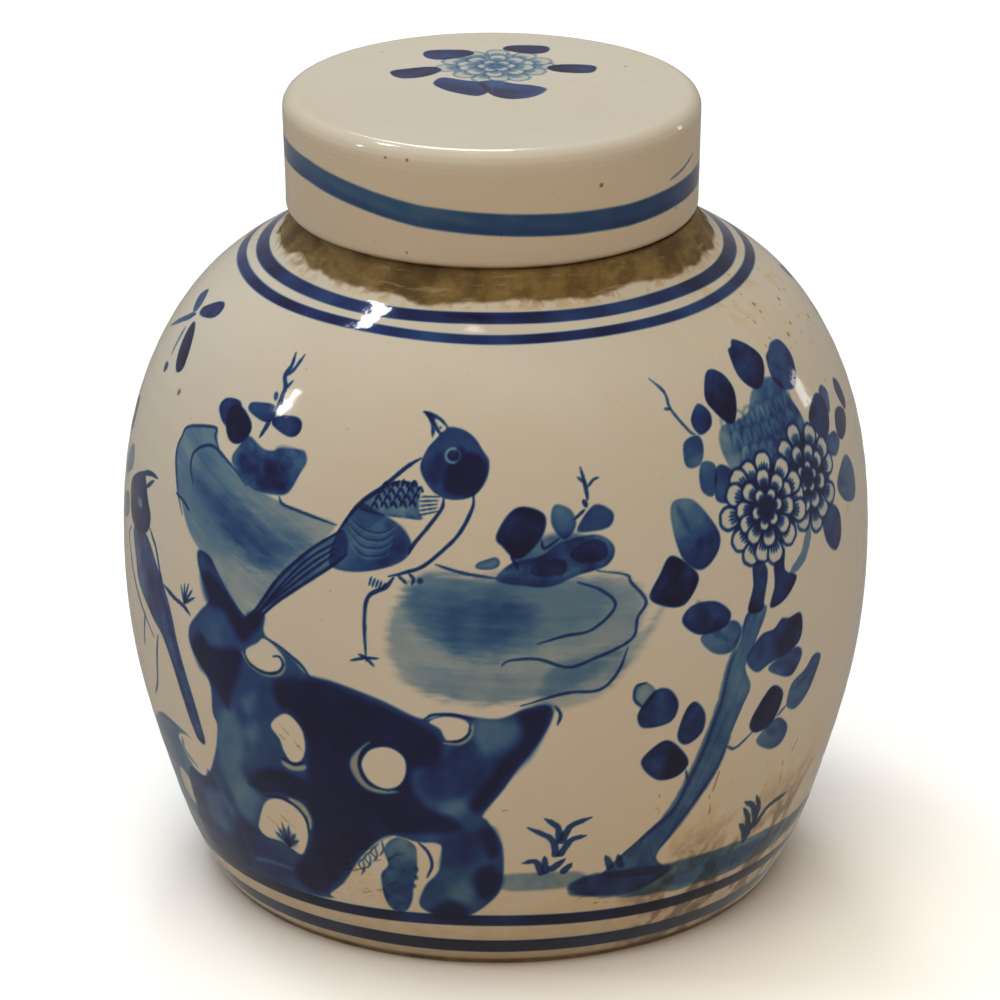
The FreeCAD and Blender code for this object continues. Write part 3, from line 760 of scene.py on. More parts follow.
def paint_tree_leaves(c):
    """Round leaves all over the tree, each darker towards one side, and their stems."""
    near_black, dark, middle, grey = 0.95, 0.84, 0.7, 0.58
    for outline, tone, end, toward in (
        ([(26.8, 125.8), (24.8, 121.5), (23, 115.8), (25.6, 112.6), (28.8, 112.3), (31.2, 118),
          (30, 121.9)], 0.93, near_black, -60),
        ([(28, 139.4), (30.2, 139.9), (32, 138.5), (34, 134), (35.6, 128.3), (34.6, 123.3), (31.6, 120.5),
          (28.6, 125), (27.4, 134.4)], 0.44, 0.84, -55),
        ([(33.6, 145.1), (34.8, 148), (37, 146.1), (35.6, 139), (33.6, 140.6)], grey, middle, -80),
        ([(35.8, 138), (36.8, 145), (38.6, 145.8), (40.8, 142), (40.2, 138), (38, 136)], middle, dark, 0),
        ([(31.4, 149.3), (32.2, 154), (35, 155), (35.6, 152), (34.4, 147.8), (32.2, 147.2)],
         middle, grey, -80),
        ([(34.6, 159), (37, 162.9), (38.8, 160), (38.2, 156.4), (35.6, 155)], middle, dark, -40),
        ([(39, 164), (41, 169.4), (43, 170.6), (45.2, 168), (45.8, 162.9), (43.8, 156.5), (42, 155.6),
          (39.8, 160)], dark, near_black, -60),
        ([(48.3, 167.3), (49.2, 173.4), (50.6, 174.4), (52.2, 176), (54.9, 173.2), (56.6, 168.6),
          (54.9, 164.2), (52, 161.4), (49.6, 163.1)], dark, near_black, -30),
        ([(56.4, 162.5), (57.6, 167.4), (59.6, 169), (62, 170.4), (65, 169.4), (65.6, 164.5), (63.6, 159.4),
          (61, 157), (57.6, 158.6)], 0.66, 0.74, 0),
        ([(61.6, 147.2), (65.5, 151.6), (68.3, 151.2), (69.2, 146), (66.9, 141.3), (64.4, 140)],
         dark, dark, 0),
        ([(68.2, 151), (70.4, 152.6), (71.8, 149.6), (69.4, 145)], grey, grey, 0),
        ([(70, 140.4), (72, 144), (75.1, 143.4), (76.6, 140.4), (74, 137), (70.8, 136.6)], dark, dark, 0),
        ([(65, 139.7), (68.6, 140.2), (70.2, 137), (67.4, 134.2), (65, 136)], middle, grey, -60),
        ([(75.6, 147.4), (77, 150.6), (79.2, 148), (79.2, 143), (77, 141.6)], dark, dark, 0),
        ([(65.5, 127.2), (70.4, 132), (73.2, 129), (73.9, 122.4), (71.8, 118.8), (67.4, 121.6)],
         grey, middle, -60),
        ([(59, 121.4), (62.4, 123.4), (65, 119.4), (65, 113), (62.8, 110.2), (60, 114)], middle, dark, -50),
        ([(28.2, 107.6), (30, 111.4), (34, 111), (36.8, 106.6), (35.4, 103.1), (31, 103)], dark, dark, 0),
        ([(31.4, 102.2), (36.6, 104.6), (38.8, 101.4), (37, 95.8), (33.6, 96.8)], 0.46, 0.62, -30),
        ([(40, 92), (42.8, 97.4), (45.6, 97.8), (47.4, 99.8), (49, 99.1), (52, 98.8), (52.4, 92.6),
          (50.4, 89.6), (45, 88.3), (42.2, 87.2)], middle, near_black, 15),
        ([(44.8, 87.4), (50.8, 89.6), (52.8, 86.6), (50.6, 81.8), (47, 83.8)], grey, dark, 0),
        ([(21.6, 85), (23.8, 89.6), (26.2, 89.2), (27.8, 84.4), (26.6, 79.6), (22.4, 79.2), (21.2, 82)],
         dark, dark, 0),
        ([(28, 75.8), (29.2, 82.2), (30.8, 83.9), (32.6, 79.6), (32.4, 74.4), (30.2, 71.7), (28.6, 72.6)],
         dark, dark, 0),
        ([(22.2, 68.6), (24.2, 73), (26.6, 74), (29.4, 69.2), (30.4, 65), (28.4, 62), (25, 62.6)], dark,
         near_black, -30),
        ([(41.8, 72.6), (44.2, 78.8), (46.4, 81), (48.8, 77.2), (47.6, 71), (45.4, 68.5), (42.8, 69)],
         near_black, near_black, 0),
        ([(44.2, 67), (48, 70.3), (51.2, 66), (50.6, 61.4), (47.8, 60.8), (44.4, 64.2)], 0.5, middle, 0),
        ([(50, 74), (50.8, 79), (54, 81.2), (56.4, 84.1), (58.6, 82.4), (57.4, 77.4), (55.6, 73),
          (52.8, 70.4), (50.6, 71.8)], grey, middle, 30),
    ):
        c.fill(outline, tone, 0.08, 0.35, 0.2, toward=toward, end=end, spread=4)
    for base, tip in (
        ((28.8, 138), (30.4, 131)), ((31, 112), (33, 106)), ((33.6, 103), (36.4, 99)), ((46, 87), (50, 86)),
        ((58, 166), (61, 162)), ((51.6, 77), (55, 79)), ((67, 127), (70, 124)), ((46, 68), (48.6, 65)),
    ):
        c.stroke([base, tip], (2.4, 1.2), 0.3, soft=0.7)
    c.stroke([(22.4, 92.4), (20.8, 91.6), (20.6, 88), (22, 85.4)], FINE, 0.7)
    c.fill([(22.4, 92.4), (20.8, 91), (20.8, 87.6), (22, 85), (24, 89)], 0.34, 0.2)
    for stem in (
        [(29.2, 172.4), (31.2, 168), (31.4, 163.2), (33.6, 156.8), (34.6, 155.4)],
        [(31.4, 163.2), (30.2, 163.6)],
        [(30.2, 63.4), (30.7, 60)],
        [(37.6, 67.3), (39.4, 66), (42.8, 69.3)],
        [(48, 70.9), (50, 73)],
    ):
        c.stroke(stem, 0.85, 0.62)


def paint_trunk(c):
    """The leaning trunk with its darker side, and the branches under the flowers."""
    trunk = [
        (40, 105), (38.6, 97.6), (36.6, 92), (35.4, 82.6), (34.2, 77), (32.8, 69), (30.6, 59.3),
        (28.8, 51.5), (25, 45.4), (20, 37.2), (18.4, 31.5), (29, 30), (27.4, 35.8), (30, 43.6),
        (33, 51.5), (36.3, 61.2), (38, 71), (39.8, 78.6), (41.1, 83.7), (39.8, 90), (41.6, 96.1),
        (44, 105),
    ]
    c.fill(trunk, 0.48, 0.12, 0.35, 0.25, toward=-100, end=0.66, streak=(66, 0.3), spread=6)
    c.stroke([(40, 104.5), (36.6, 92), (35.4, 82.6), (32.8, 69), (28.8, 51.5), (24, 43)],
             (1.6, 2.8), 0.5, soft=0.6)
    c.stroke([(38, 70), (35.8, 60), (31.6, 48), (28, 39)], (1.2, 2.0), 0.4, soft=0.5)
    c.fill([(41.4, 117.4), (42.8, 118.5), (44.4, 115), (43.6, 108), (43, 104.5), (40.2, 105.4), (41.3, 112)],
           0.82, 0.1)
    c.fill([(46, 118.2), (48.4, 118.9), (48.3, 113), (51, 109.7), (48.2, 105), (44.8, 104.4), (45.8, 110)],
           0.88, 0.1)
    c.stroke([(49.6, 111.4), (53, 114.6), (55.2, 122)], (3.0, 3.4), 0.42)


def petal(c, centre, heart, length, width, tone, ink):
    """One outlined petal, fanned with fine lines from the end that is nearer the flower's heart."""
    unit = c.unit_at(centre[1])
    out = (np.array(centre) - np.array(heart)) * (unit, 1)
    out = out / max(np.hypot(*out), 1e-6)
    side = np.array([-out[1], out[0]])

    def place(forward, across):
        return tuple(np.array(centre) + (out * forward + side * across) / (unit, 1))

    half, wide = length / 2, width / 2
    shape = [
        place(-half, -0.3 * wide), place(-0.3 * half, -0.85 * wide), place(0.4 * half, -wide),
        place(0.95 * half, -0.55 * wide), place(1.02 * half, 0), place(0.95 * half, 0.55 * wide),
        place(0.4 * half, wide), place(-0.3 * half, 0.85 * wide), place(-half, 0.3 * wide),
    ]
    c.erase(shape, 0.0, 0.3)
    c.fill(shape, tone, 0, 0.3, 0.4)
    base = [place(-half, -0.25 * wide), place(-0.1 * half, -0.6 * wide), place(0.1 * half, 0),
            place(-0.1 * half, 0.6 * wide), place(-half, 0.25 * wide)]
    c.fill(base, 0.5 * ink, 0, 0.5)
    c.stroke(shape + shape[:1], 0.85, ink, taper=(1, 1), soft=0.3)
    for i in range(4):
        share = (i + 0.5) / 2 - 1
        reach = half * (0.3 - 0.35 * abs(share))
        c.stroke([place(-0.95 * half, share * 0.3 * wide), place(reach, share * 0.7 * wide)],
                 (0.8, 0.4), ink, soft=0.18)


def flower(c, heart, rings, tone, ink):
    """Overlapping petals over a dark ground, the outermost ring first. A ring is its radius,
    number of petals, their length and width, and how much it is squeezed in height."""
    reach = rings[0][0] + 0.5
    around = np.linspace(0, 2 * np.pi, 16, endpoint=False)
    unit = c.unit_at(heart[1])
    c.fill(np.stack([heart[0] + reach * np.cos(around) / unit,
                     heart[1] + reach * rings[0][4] * np.sin(around)], 1), 1.15 * ink, 0, 0.6, 0.2)
    for index, (radius, petals, length, width, squeeze) in enumerate(rings):
        for i in range(petals):
            turn = 2 * np.pi * (i + 0.5 * (index % 2)) / petals + 0.13 * math.sin(5 * i)
            out = radius * (1 + 0.06 * math.sin(3 * i + index))
            centre = (heart[0] + out * math.cos(turn) / unit,
                      heart[1] + out * squeeze * math.sin(turn))
            petal(c, centre, heart, length, width, tone, ink)


SCALE_OUTLINE = [(-1.3, 1.5), (-0.9, 4.6), (0.2, 5.6), (1.2, 4.4), (1.3, 1.5)]


def paint_flowers(c):
    """A scaly pale bloom behind two open flowers."""
    behind = [
        (39, 152.5), (40.6, 155.6), (44, 155.8), (47, 157), (49.4, 161), (53, 163.2), (57.4, 161.6),
        (58.8, 155), (60, 147.6), (58, 142), (48, 140), (41, 142.5), (39.2, 147.4),
    ]
    c.fill(behind, 0.42, 0.08, 0.6, 0.45, toward=-25, end=0.72, spread=4)
    for row in range(3):
        for i in range(7):
            share = -1 + i / 3
            foot = (49.6 + share * (6 + row), 143.5 + 4.6 * row)
            scale = [(foot[0] + right, foot[1] + up) for right, up in SCALE_OUTLINE]
            c.stroke(scale, 1.0, 0.24, soft=0.5)
            c.stroke([foot, (foot[0] + 0.1, foot[1] + 3.4)], (2.0, 0.8), 0.3, soft=0.7)
    flower(c, (56.6, 134.2), [(11.4, 12, 6.6, 5.8, 1.0), (6.6, 8, 5.2, 4.6, 1.0), (2.8, 5, 3.4, 3, 1.0)],
           0.1, 0.74)
    flower(c, (45.6, 131.2),
           [(12.4, 14, 6.8, 6.0, 0.9), (8.0, 10, 5.6, 5.0, 0.92), (3.8, 6, 4.2, 3.6, 0.95)], 0.06, 0.8)
    c.dab((45.6, 131.2), 1.0, 0.6, 0.5, "cobalt")


def paint_ground(c):
    """The washed ground line and the tufts of grass on it."""
    c.fill([(0.6, 34.6), (6, 35.5), (14, 34.6), (14.4, 30), (6, 29.2), (1.2, 29.8)], 0.34, 0, 0.8, 0.3)
    c.fill([(12.2, 28.6), (15.5, 33.2), (25, 32.6), (45, 31.5), (62, 29), (76, 27.6), (74, 23.6),
            (50, 21), (33, 21.4), (20, 23.8)], 0.46, 0.08, 0.7, 0.45, ragged=0.8, spread=8)
    c.fill([(12.4, 28.6), (15.5, 32.8), (26, 33), (31, 30), (24, 24.6), (14, 26)], 0.6, 0, 0.8, 0.4)
    c.fill([(30, 27), (44, 29), (56, 27), (48, 23), (34, 23)], 0.3, 0, 1.0, 0.4)
    for blade in (
        [(7.5, 54.1), (9.6, 51), (10, 47)],
        [(4.9, 51.3), (8.8, 46.8), (9.6, 41.5)],
        [(15, 53.2), (11.8, 51), (10.4, 46)],
        [(14.4, 47.2), (12, 46.1), (10.4, 41.6)],
        [(4.2, 39), (6.4, 39.4), (7.4, 35.4)],
        [(7.8, 41.1), (8.1, 35.8)],
        [(11.2, 39.7), (9.2, 36.6)],
        [(12.4, 37.9), (11.2, 35.4)],
        [(18, 39.3), (19.2, 35)],
        [(20.2, 39), (21, 35)],
        [(47.2, 46), (48.8, 41), (48.6, 34.4)],
        [(44.4, 45.6), (47, 42.5), (48.8, 37)],
        [(44.6, 43.4), (46.6, 38.7), (48, 32.6)],
        [(44.6, 38), (46.2, 35.1), (47.4, 30.8)],
        [(57.3, 40.4), (52, 39.4), (49.6, 35)],
    ):
        c.stroke(blade, (1.3, 2.3), 0.74, taper=(0.3, 0.9))


def paint_stains(c):
    """Iron spots and the yellow-brown marks of use and firing."""
    for place, radius, amount in (
        ((-66.3, 152.8), 1.0, 1.0), ((-25.6, 159.4), 0.45, 0.6), ((-25, 116.8), 0.4, 0.6),
        ((-26.3, 108.7), 0.4, 0.5), ((-37.5, 172.7), 0.5, 0.5), ((-50, 166.6), 0.45, 0.4),
        ((-59.4, 148.8), 0.5, 0.5), ((66.6, 181.2), 0.7, 0.9), ((69.1, 169), 0.8, 0.9),
        ((72.9, 170.7), 0.7, 0.8), ((76.7, 177.1), 0.7, 0.9), ((83.4, 166.5), 0.8, 0.9),
        ((68.6, 118.2), 1.2, 0.45),
    ):
        c.dab(place, radius, amount, 0.45)
    for _ in range(70):
        place = (rng.uniform(58, 90), rng.uniform(150, 196))
        c.dab(place, rng.uniform(0.2, 0.6), rng.uniform(0.45, 1.0), 0.35, stretch=rng.uniform(0.8, 1.6))
    for _ in range(40):
        place = (rng.uniform(-90, 60), rng.uniform(40, 190))
        c.dab(place, rng.uniform(0.12, 0.3), rng.uniform(0.2, 0.5), 0.3)
    for _ in range(16):
        place = (rng.uniform(48, 74), rng.uniform(166, 196))
        c.dab(place, rng.uniform(1.0, 3.0), rng.uniform(0.15, 0.34), 1.4, stretch=0.5)
    for _ in range(26):
        angle, run = rng.uniform(22, 60), rng.uniform(34, 62)
        reach = rng.uniform(3, 11)
        lean = rng.uniform(-0.2, 0.32) * reach
        line = [(angle, run), (angle - lean * 0.6, run - reach * 0.5), (angle - lean, run - reach)]
        c.scratch(line, rng.uniform(0.3, 0.7), rng.uniform(0.25, 0.6))
    for _ in range(30):
        angle, run = rng.uniform(-31, -17), rng.uniform(21, 44)
        line = [(angle, run), (angle + rng.uniform(2, 5), run + rng.uniform(2, 6))]
        c.scratch(line, rng.uniform(0.4, 0.9), rng.uniform(0.3, 0.6))
    for _ in range(24):
        angle, run = rng.uniform(-10, 60), rng.uniform(3, 26)
        line = [(angle, run), (angle + rng.uniform(1, 6), run + rng.uniform(-1, 4))]
        c.scratch(line, rng.uniform(0.4, 1.0), rng.uniform(0.2, 0.5))
    for line in (
        [(-35, 77), (-31, 70), (-29, 66)],
        [(-35, 73), (-32, 70), (-30, 72)],
        [(-42, 45), (-38, 40), (-35, 36)],
        [(-39, 48), (-36.5, 44), (-34, 42)],
        [(1, 57), (1.7, 57.4)],
        [(-26, 51), (-25.4, 53)],
    ):
        c.scratch(line, 0.5, 0.55)
    c.tint([(50.6, 37), (52, 37.4), (53.4, 36), (52, 34)], 0.5, 0.8)
    c.tint([(-30, 22), (-24, 26), (-20, 31), (-19, 22)], 0.24, 2.0)


def paint_scene(c):
    """One whole side of the jar."""
    paint_streaky_rocks(c)
    paint_far_left(c)
    paint_scholars_rock(c)
    paint_bush(c)
    paint_main_bird(c)
    paint_ground(c)
    paint_trunk(c)
    paint_tree_leaves(c)
    paint_flowers(c)
    paint_stains(c)


def paint_rings(c):
    """Two rings round the shoulder and two round the foot, drawn on the turning jar."""
    turn = np.radians(c.u)
    wave = 0.25 * np.sin(3 * turn + 1) + 0.15 * np.sin(7 * turn + 2)
    front = np.maximum(np.cos(turn), 0) ** 6
    everywhere = np.arange(len(c.u))
    for middle, width, tone in (
        (195 + wave, 4.0, 0.84),
        (188.4 - wave, 3.1, 0.84),
        (16.4 + 1.6 * front + wave, 4.0, 0.93),
        (6.4 + 1.4 * front - wave, 5.4, 0.95),
    ):
        gap = np.abs(c.v - middle) - width / 2
        near = everywhere[gap < 0.6]
        angle = np.radians(c.u[near])
        tide = 0.06 * np.sin(5 * angle + middle[near] * 0.3) + 0.05 * np.sin(23 * angle + 4)
        c.add(near, (tone + tide) * ease(0.3, -0.3, gap[near]))


def paint_lid_top(c):
    """One pale flower with two large leaves and four small ones."""
    flower(c, (1, 22.5), [(12.4, 13, 6.4, 5.8, 0.85), (7.6, 10, 5.4, 4.8, 0.85), (3.2, 6, 4, 3.4, 0.85)],
           0.1, 0.27)
    for base, tip, width, tone in (
        ((-14, 20), (-26.5, 13), 8.6, 0.9),
        ((-5, 34), (-18.6, 31.6), 8.4, 0.86),
        ((3, 38), (15.6, 36.6), 7.4, 0.92),
        ((15, 21), (28, 18.4), 8, 0.92),
    ):
        c.leaf(base, tip, width, tone, tone - 0.06)
    c.fill([(-13.4, 12), (-8, 10), (-2.6, 7.6), (-0.6, 1), (-3.6, -4), (-8, -2.4), (-12.4, 1), (-15.6, 6.5)],
           0.86, 0.1, toward=60, end=0.7)
    c.fill([(-3.4, 8), (1, 9.6), (6, 6.8), (11, 5.2), (14.6, 1.6), (11.4, -4.6), (6, -7), (1.4, -5),
            (-1.4, 0)], 0.86, 0.1, toward=60, end=0.66)
    c.dab((-30, 34), 0.5, 0.8, 0.3)
    c.dab((36, 21), 0.5, 0.8, 0.3)
    c.dab((41, 7), 0.4, 0.7, 0.3)


def paint_lid_side(c):
    """One broad ring that climbs towards the back on the left, and ends in a stroke on the right."""
    course = np.array([
        (-180, 205.5), (-120, 208), (-80, 207.5), (-60, 206.9), (-40, 204.8), (-20, 202.3), (0, 201.1),
        (20, 200.1), (40, 199.4), (60, 199.8), (80, 200.2), (120, 202.6), (180, 205.5),
    ])
    middle = np.interp(c.u, course[:, 0], course[:, 1])
    gap = np.abs(c.v - middle) - 3.0
    tone = 0.58 + 0.08 * ease(-18, 2, c.u) + 0.05 * ease(30, 38, c.u)
    turn = np.radians(c.u)
    patches = noise(7 * np.cos(turn) + 20, 7 * np.sin(turn) + 0.5 * c.v)
    tone = tone + 0.08 * ease(0.5, -2.5, c.v - middle) + 0.08 * (patches - 0.5)
    near = np.flatnonzero(gap < 0.6)
    c.add(near, (tone * ease(0.35, -0.35, gap))[near])
    c.stroke([(57, 205), (64, 206), (72, 208)], 0.7, 0.5)
    for place, radius in (((-29.5, 217), 0.5), ((-23, 217.2), 0.5), ((30.5, 209.3), 0.7),
                          ((2.5, 198.4), 0.4), ((61, 196), 0.4), ((-23.5, 191.8), 0.4)):
        c.dab(place, radius, 1.0, 0.3)


# ---------------------------------------------------------------- the jar body

def throwing_marks(angle, run, ends):
    """How far the thrown wall strays from true, in millimetres."""
    turn = np.radians(angle)
    inside_ends = ease(0, 12, run) * ease(ends, ends - 14, run)
    slow = 0.16 * np.sin(2 * turn + 0.6 + run * 0.01) + 0.1 * np.sin(3 * turn + 2 - run * 0.02)
    rings = 0.035 * np.sin(run / 1.25 + 0.9 * np.sin(turn)) * (0.6 + 0.4 * np.sin(run / 17))
    return inside_ends * (slow + rings)


runs = np.linspace(0, WALL_LENGTH, WALL_ROWS)
outside = np.stack([np.interp(runs, wall_run, wall_line[:, i]) for i in (0, 1)], 1)
foot = np.concatenate([
    spaced([(0, BASE_HEIGHT), (60, BASE_HEIGHT), (FOOT_INSIDE - FOOT_ROUND, BASE_HEIGHT)], 3.0),
    arc((FOOT_INSIDE - FOOT_ROUND, BASE_HEIGHT - FOOT_ROUND), FOOT_ROUND, 90, 0, 6)[1:],
    spaced([(FOOT_INSIDE, BASE_HEIGHT - FOOT_ROUND), (FOOT_INSIDE, 0.25), (FOOT_INSIDE + 0.25, 0),
            (77.0, 0), (77.2, 0), (77.6, 0.38)], 1.5)[1:],
])
neck_top = RIM_HEIGHT - RIM_ROUND
seat_and_neck = np.concatenate([
    spaced([(53.7, 187.98), (53.4, SEAT_HEIGHT), (49.2, SEAT_HEIGHT), (NECK_RADIUS, 188.4),
            (NECK_RADIUS, neck_top)], 0.8),
    arc((NECK_RADIUS - RIM_ROUND, neck_top), RIM_ROUND, 0, 90, 6)[1:],
    arc((BORE_RADIUS + RIM_ROUND, neck_top), RIM_ROUND, 90, 180, 6),
])
back_wall = inner_wall()[::-1]
under_neck = [(BORE_RADIUS, 184.5), (44.6, 180.2), (47.6, 177.0), tuple(back_wall[0])]
floor_corner = [(77.4, 14.0), (75.5, 11.8), (72.0, 10.7), (68.0, FLOOR_HEIGHT), (0, FLOOR_HEIGHT)]
inside = np.concatenate([
    spaced([(BORE_RADIUS, 203.0)] + under_neck, 1.5)[1:],
    back_wall[1:],
    spaced([tuple(back_wall[-1])] + floor_corner, 3.0)[1:],
])
jar_profile = np.concatenate([foot, outside, seat_and_neck, inside])
first_wall_row = len(foot)
row_runs = np.full(len(jar_profile), -1.0)
row_runs[first_wall_row:first_wall_row + WALL_ROWS] = runs


def jar_wobble(angle, row):
    """Throwing marks on the rows of the outer wall only."""
    run = row_runs[row]
    return np.where(run >= 0, throwing_marks(angle, np.maximum(run, 0), WALL_LENGTH), 0)


jar, jar_angles = turned_mesh("jar_body_glazed", jar_profile, COLUMNS, jar_wobble)
grid_run = row_runs[1:-1][:, None] + np.zeros((1, COLUMNS))
grid_angle = jar_angles[None, :] + np.zeros((len(jar_profile) - 2, 1))
unit = np.radians(wall_radius(np.maximum(grid_run, 0)))
canvas = Canvas(grid_angle, np.where(grid_run < 0, -1000, grid_run), unit)
for side in (0, 180):
    paint_scene(canvas.turned(side))
paint_rings(canvas)

turn = np.radians(grid_angle)
on_wall = grid_run >= 0
out = wall_radius(np.maximum(grid_run, 0))
out_x = out * np.sin(turn)
out_y = out * np.cos(turn)


def clay_share():
    """1 where the clay is bare: the seat and neck, under the foot and along the foot's edge."""
    edge = 200.6 + 0.6 * np.sin(4 * turn) + 0.4 * np.sin(11 * turn + 1) + 1.2 * (
        noise(np.cos(turn) * 9 + 40, np.sin(turn) * 9 + 40) - 0.5)
    edge = edge + 3.0 * (clouds(out_x, out_y, 6) - 0.5)
    share = ease(edge - 0.7, edge + 0.6, grid_run)
    row = np.arange(1, len(jar_profile) - 1)[:, None] + np.zeros((1, COLUMNS), int)
    seat_row = first_wall_row + WALL_ROWS
    above_wall = (row >= seat_row) & (row < seat_row + len(seat_and_neck) + 4)
    under_foot = (row < first_wall_row) & (row > len(foot) - 18)
    share = np.where(above_wall | under_foot, 1.0, share)
    return np.where(on_wall & (grid_run < 2.6), np.maximum(share, ease(2.4, 0.6, grid_run)), share)


def soiled(stain):
    """The painted stains with soil along the clay, on the right shoulder and low down."""
    blotches = clouds(out_x + 70, out_y, 2.4) + 0.05 * np.cos(turn - 0.5)
    tide_mark = 0.62 * ease(194, 201, grid_run) * ease(0.42, 0.62, blotches) * on_wall
    shoulder_cloud = ease(0.46, 0.62, clouds(out_x + 30, out_y, 5))
    shoulder = 0.36 * ease(38, 60, grid_angle) * ease(100, 84, grid_angle)
    shoulder = shoulder * ease(160, 186, grid_run) * shoulder_cloud
    low_cloud = ease(0.3, 0.7, clouds(out_x + 0.6 * grid_run, out_y + 0.8 * grid_run + 50, 9))
    low_down = 0.4 * ease(62, 8, grid_run) * on_wall * low_cloud
    right_cloud = ease(0.3, 0.6, clouds(out_x, out_y + 0.5 * grid_run, 7))
    low_right = 0.85 * ease(4, 34, grid_angle) * ease(78, 62, grid_angle)
    low_right = low_right * ease(58, 10, grid_run - 0.25 * grid_angle) * on_wall * right_cloud
    between_rings = 0.4 * ease(1, 2.4, grid_run) * ease(20, 14, grid_run)
    return np.maximum.reduce([stain, tide_mark, shoulder, low_down, low_right, between_rings])


store(jar, "cobalt", canvas.cobalt)
store(jar, "stain", soiled(canvas.stain.reshape(grid_run.shape)))
store(jar, "bare", clay_share())


# ---------------------------------------------------------------- the lid

lid_low = SEAT_HEIGHT
ceiling = LID_TOP - LID_DISH - LID_THICKNESS
flat_radius = LID_RADIUS_TOP - LID_EDGE_ROUND
discs = np.linspace(0, flat_radius, int(flat_radius / LID_STEP))
dish = LID_TOP - LID_DISH * (1 - (discs / flat_radius) ** 2) ** 2
side_line = [(LID_RADIUS_TOP, LID_TOP - LID_EDGE_ROUND), (LID_RADIUS_BOTTOM, lid_low + LID_HEM_ROUND)]
lid_outside = np.concatenate([
    np.stack([discs, dish], 1),
    arc((flat_radius, LID_TOP - LID_EDGE_ROUND), LID_EDGE_ROUND, 90, 0, 16)[1:],
    spaced(side_line, LID_STEP)[1:],
    arc((LID_RADIUS_BOTTOM - LID_HEM_ROUND, lid_low + LID_HEM_ROUND), LID_HEM_ROUND, 0, -90, 10)[1:],
])
lid_inside = np.concatenate([
    spaced([(52.0, lid_low), (SKIRT_INSIDE + 0.7, lid_low)], 0.6),
    arc((SKIRT_INSIDE + 0.7, lid_low + 0.7), 0.7, 270, 180, 6)[1:],
    spaced([(SKIRT_INSIDE, lid_low + 0.7), (SKIRT_INSIDE, ceiling - 3)], 1.0)[1:],
    arc((SKIRT_INSIDE - 3, ceiling - 3), 3.0, 0, 90, 8)[1:],
    spaced([(SKIRT_INSIDE - 3, ceiling), (0, ceiling)], 2.0)[1:],
])
lid_profile = np.concatenate([lid_outside, lid_inside])[::-1]


def lid_wobble(angle, row):
    """How far the lid's outside strays from true, with fine ridges under its rounded edge."""
    height = lid_profile[row, 1]
    out = lid_profile[row, 0]
    turn = np.radians(angle)
    amount = ease(lid_low + 1, lid_low + 6, height) * ease(LID_RADIUS_TOP - 3, LID_RADIUS_TOP, out)
    slow = 0.12 * np.sin(2 * turn + 1) + 0.06 * np.sin(5 * turn + height * 0.1)
    ridges = 0.03 * ease(206, 214, height) * np.sin(height * 4.2 + 0.6 * np.sin(turn))
    return amount * (slow + ridges)


lid, lid_angles = turned_mesh("lid_glazed", lid_profile, LID_COLUMNS, lid_wobble)
lid.data.transform(Matrix.Translation((LID_SIDEWAYS * MM, 0, 0)))
lid_rows = lid_profile[1:-1]
lid_turn = np.radians(lid_angles)[None, :]
radius = lid_rows[:, 0][:, None]
height = lid_rows[:, 1][:, None] + np.zeros((1, LID_COLUMNS))
inside_count = len(lid_inside)
lid_row = np.arange(1, len(lid_profile) - 1)[:, None] + np.zeros((1, LID_COLUMNS), int)
is_outside = lid_row >= inside_count
on_top = is_outside & (height > LID_TOP - 1.3)
on_side = is_outside & ~on_top
top_canvas = Canvas(
    np.where(on_top, radius * np.sin(lid_turn), -1000),
    np.where(on_top, -radius * np.cos(lid_turn), -1000),
    np.ones_like(height),
    1.0,
)
paint_lid_top(top_canvas)
side_canvas = Canvas(
    lid_angles[None, :] + np.zeros((len(lid_rows), 1)),
    np.where(on_side, height, -1000),
    np.full(height.shape, math.radians(LID_RADIUS_TOP)),
    math.radians(LID_RADIUS_TOP),
)
paint_lid_side(side_canvas)
hem_outside = ease(lid_low + 1.6, lid_low + 0.4, height)
hem_inside = ease(lid_low + 6, lid_low + 3, height)
store(lid, "cobalt", np.maximum(top_canvas.cobalt, side_canvas.cobalt))
store(lid, "stain", np.maximum(top_canvas.stain, side_canvas.stain))
store(lid, "bare", np.where(is_outside, hem_outside, hem_inside))


# ---------------------------------------------------------------- texture layout

def lay_out(piece, place):
    """Gives each corner of each face its place on the texture, from the vertices of its face."""
    mesh = piece.data
    layer = mesh.uv_layers.new(name="OFBake")
    starts = np.zeros(len(mesh.polygons), np.int32)
    counts = np.zeros(len(mesh.polygons), np.int32)
    corners = np.zeros(len(mesh.loops), np.int32)
    mesh.polygons.foreach_get("loop_start", starts)
    mesh.polygons.foreach_get("loop_total", counts)
    mesh.loops.foreach_get("vertex_index", corners)
    first = np.repeat(corners[starts], counts)
    layer.data.foreach_set("uv", place(corners, first).astype(np.float32).ravel())


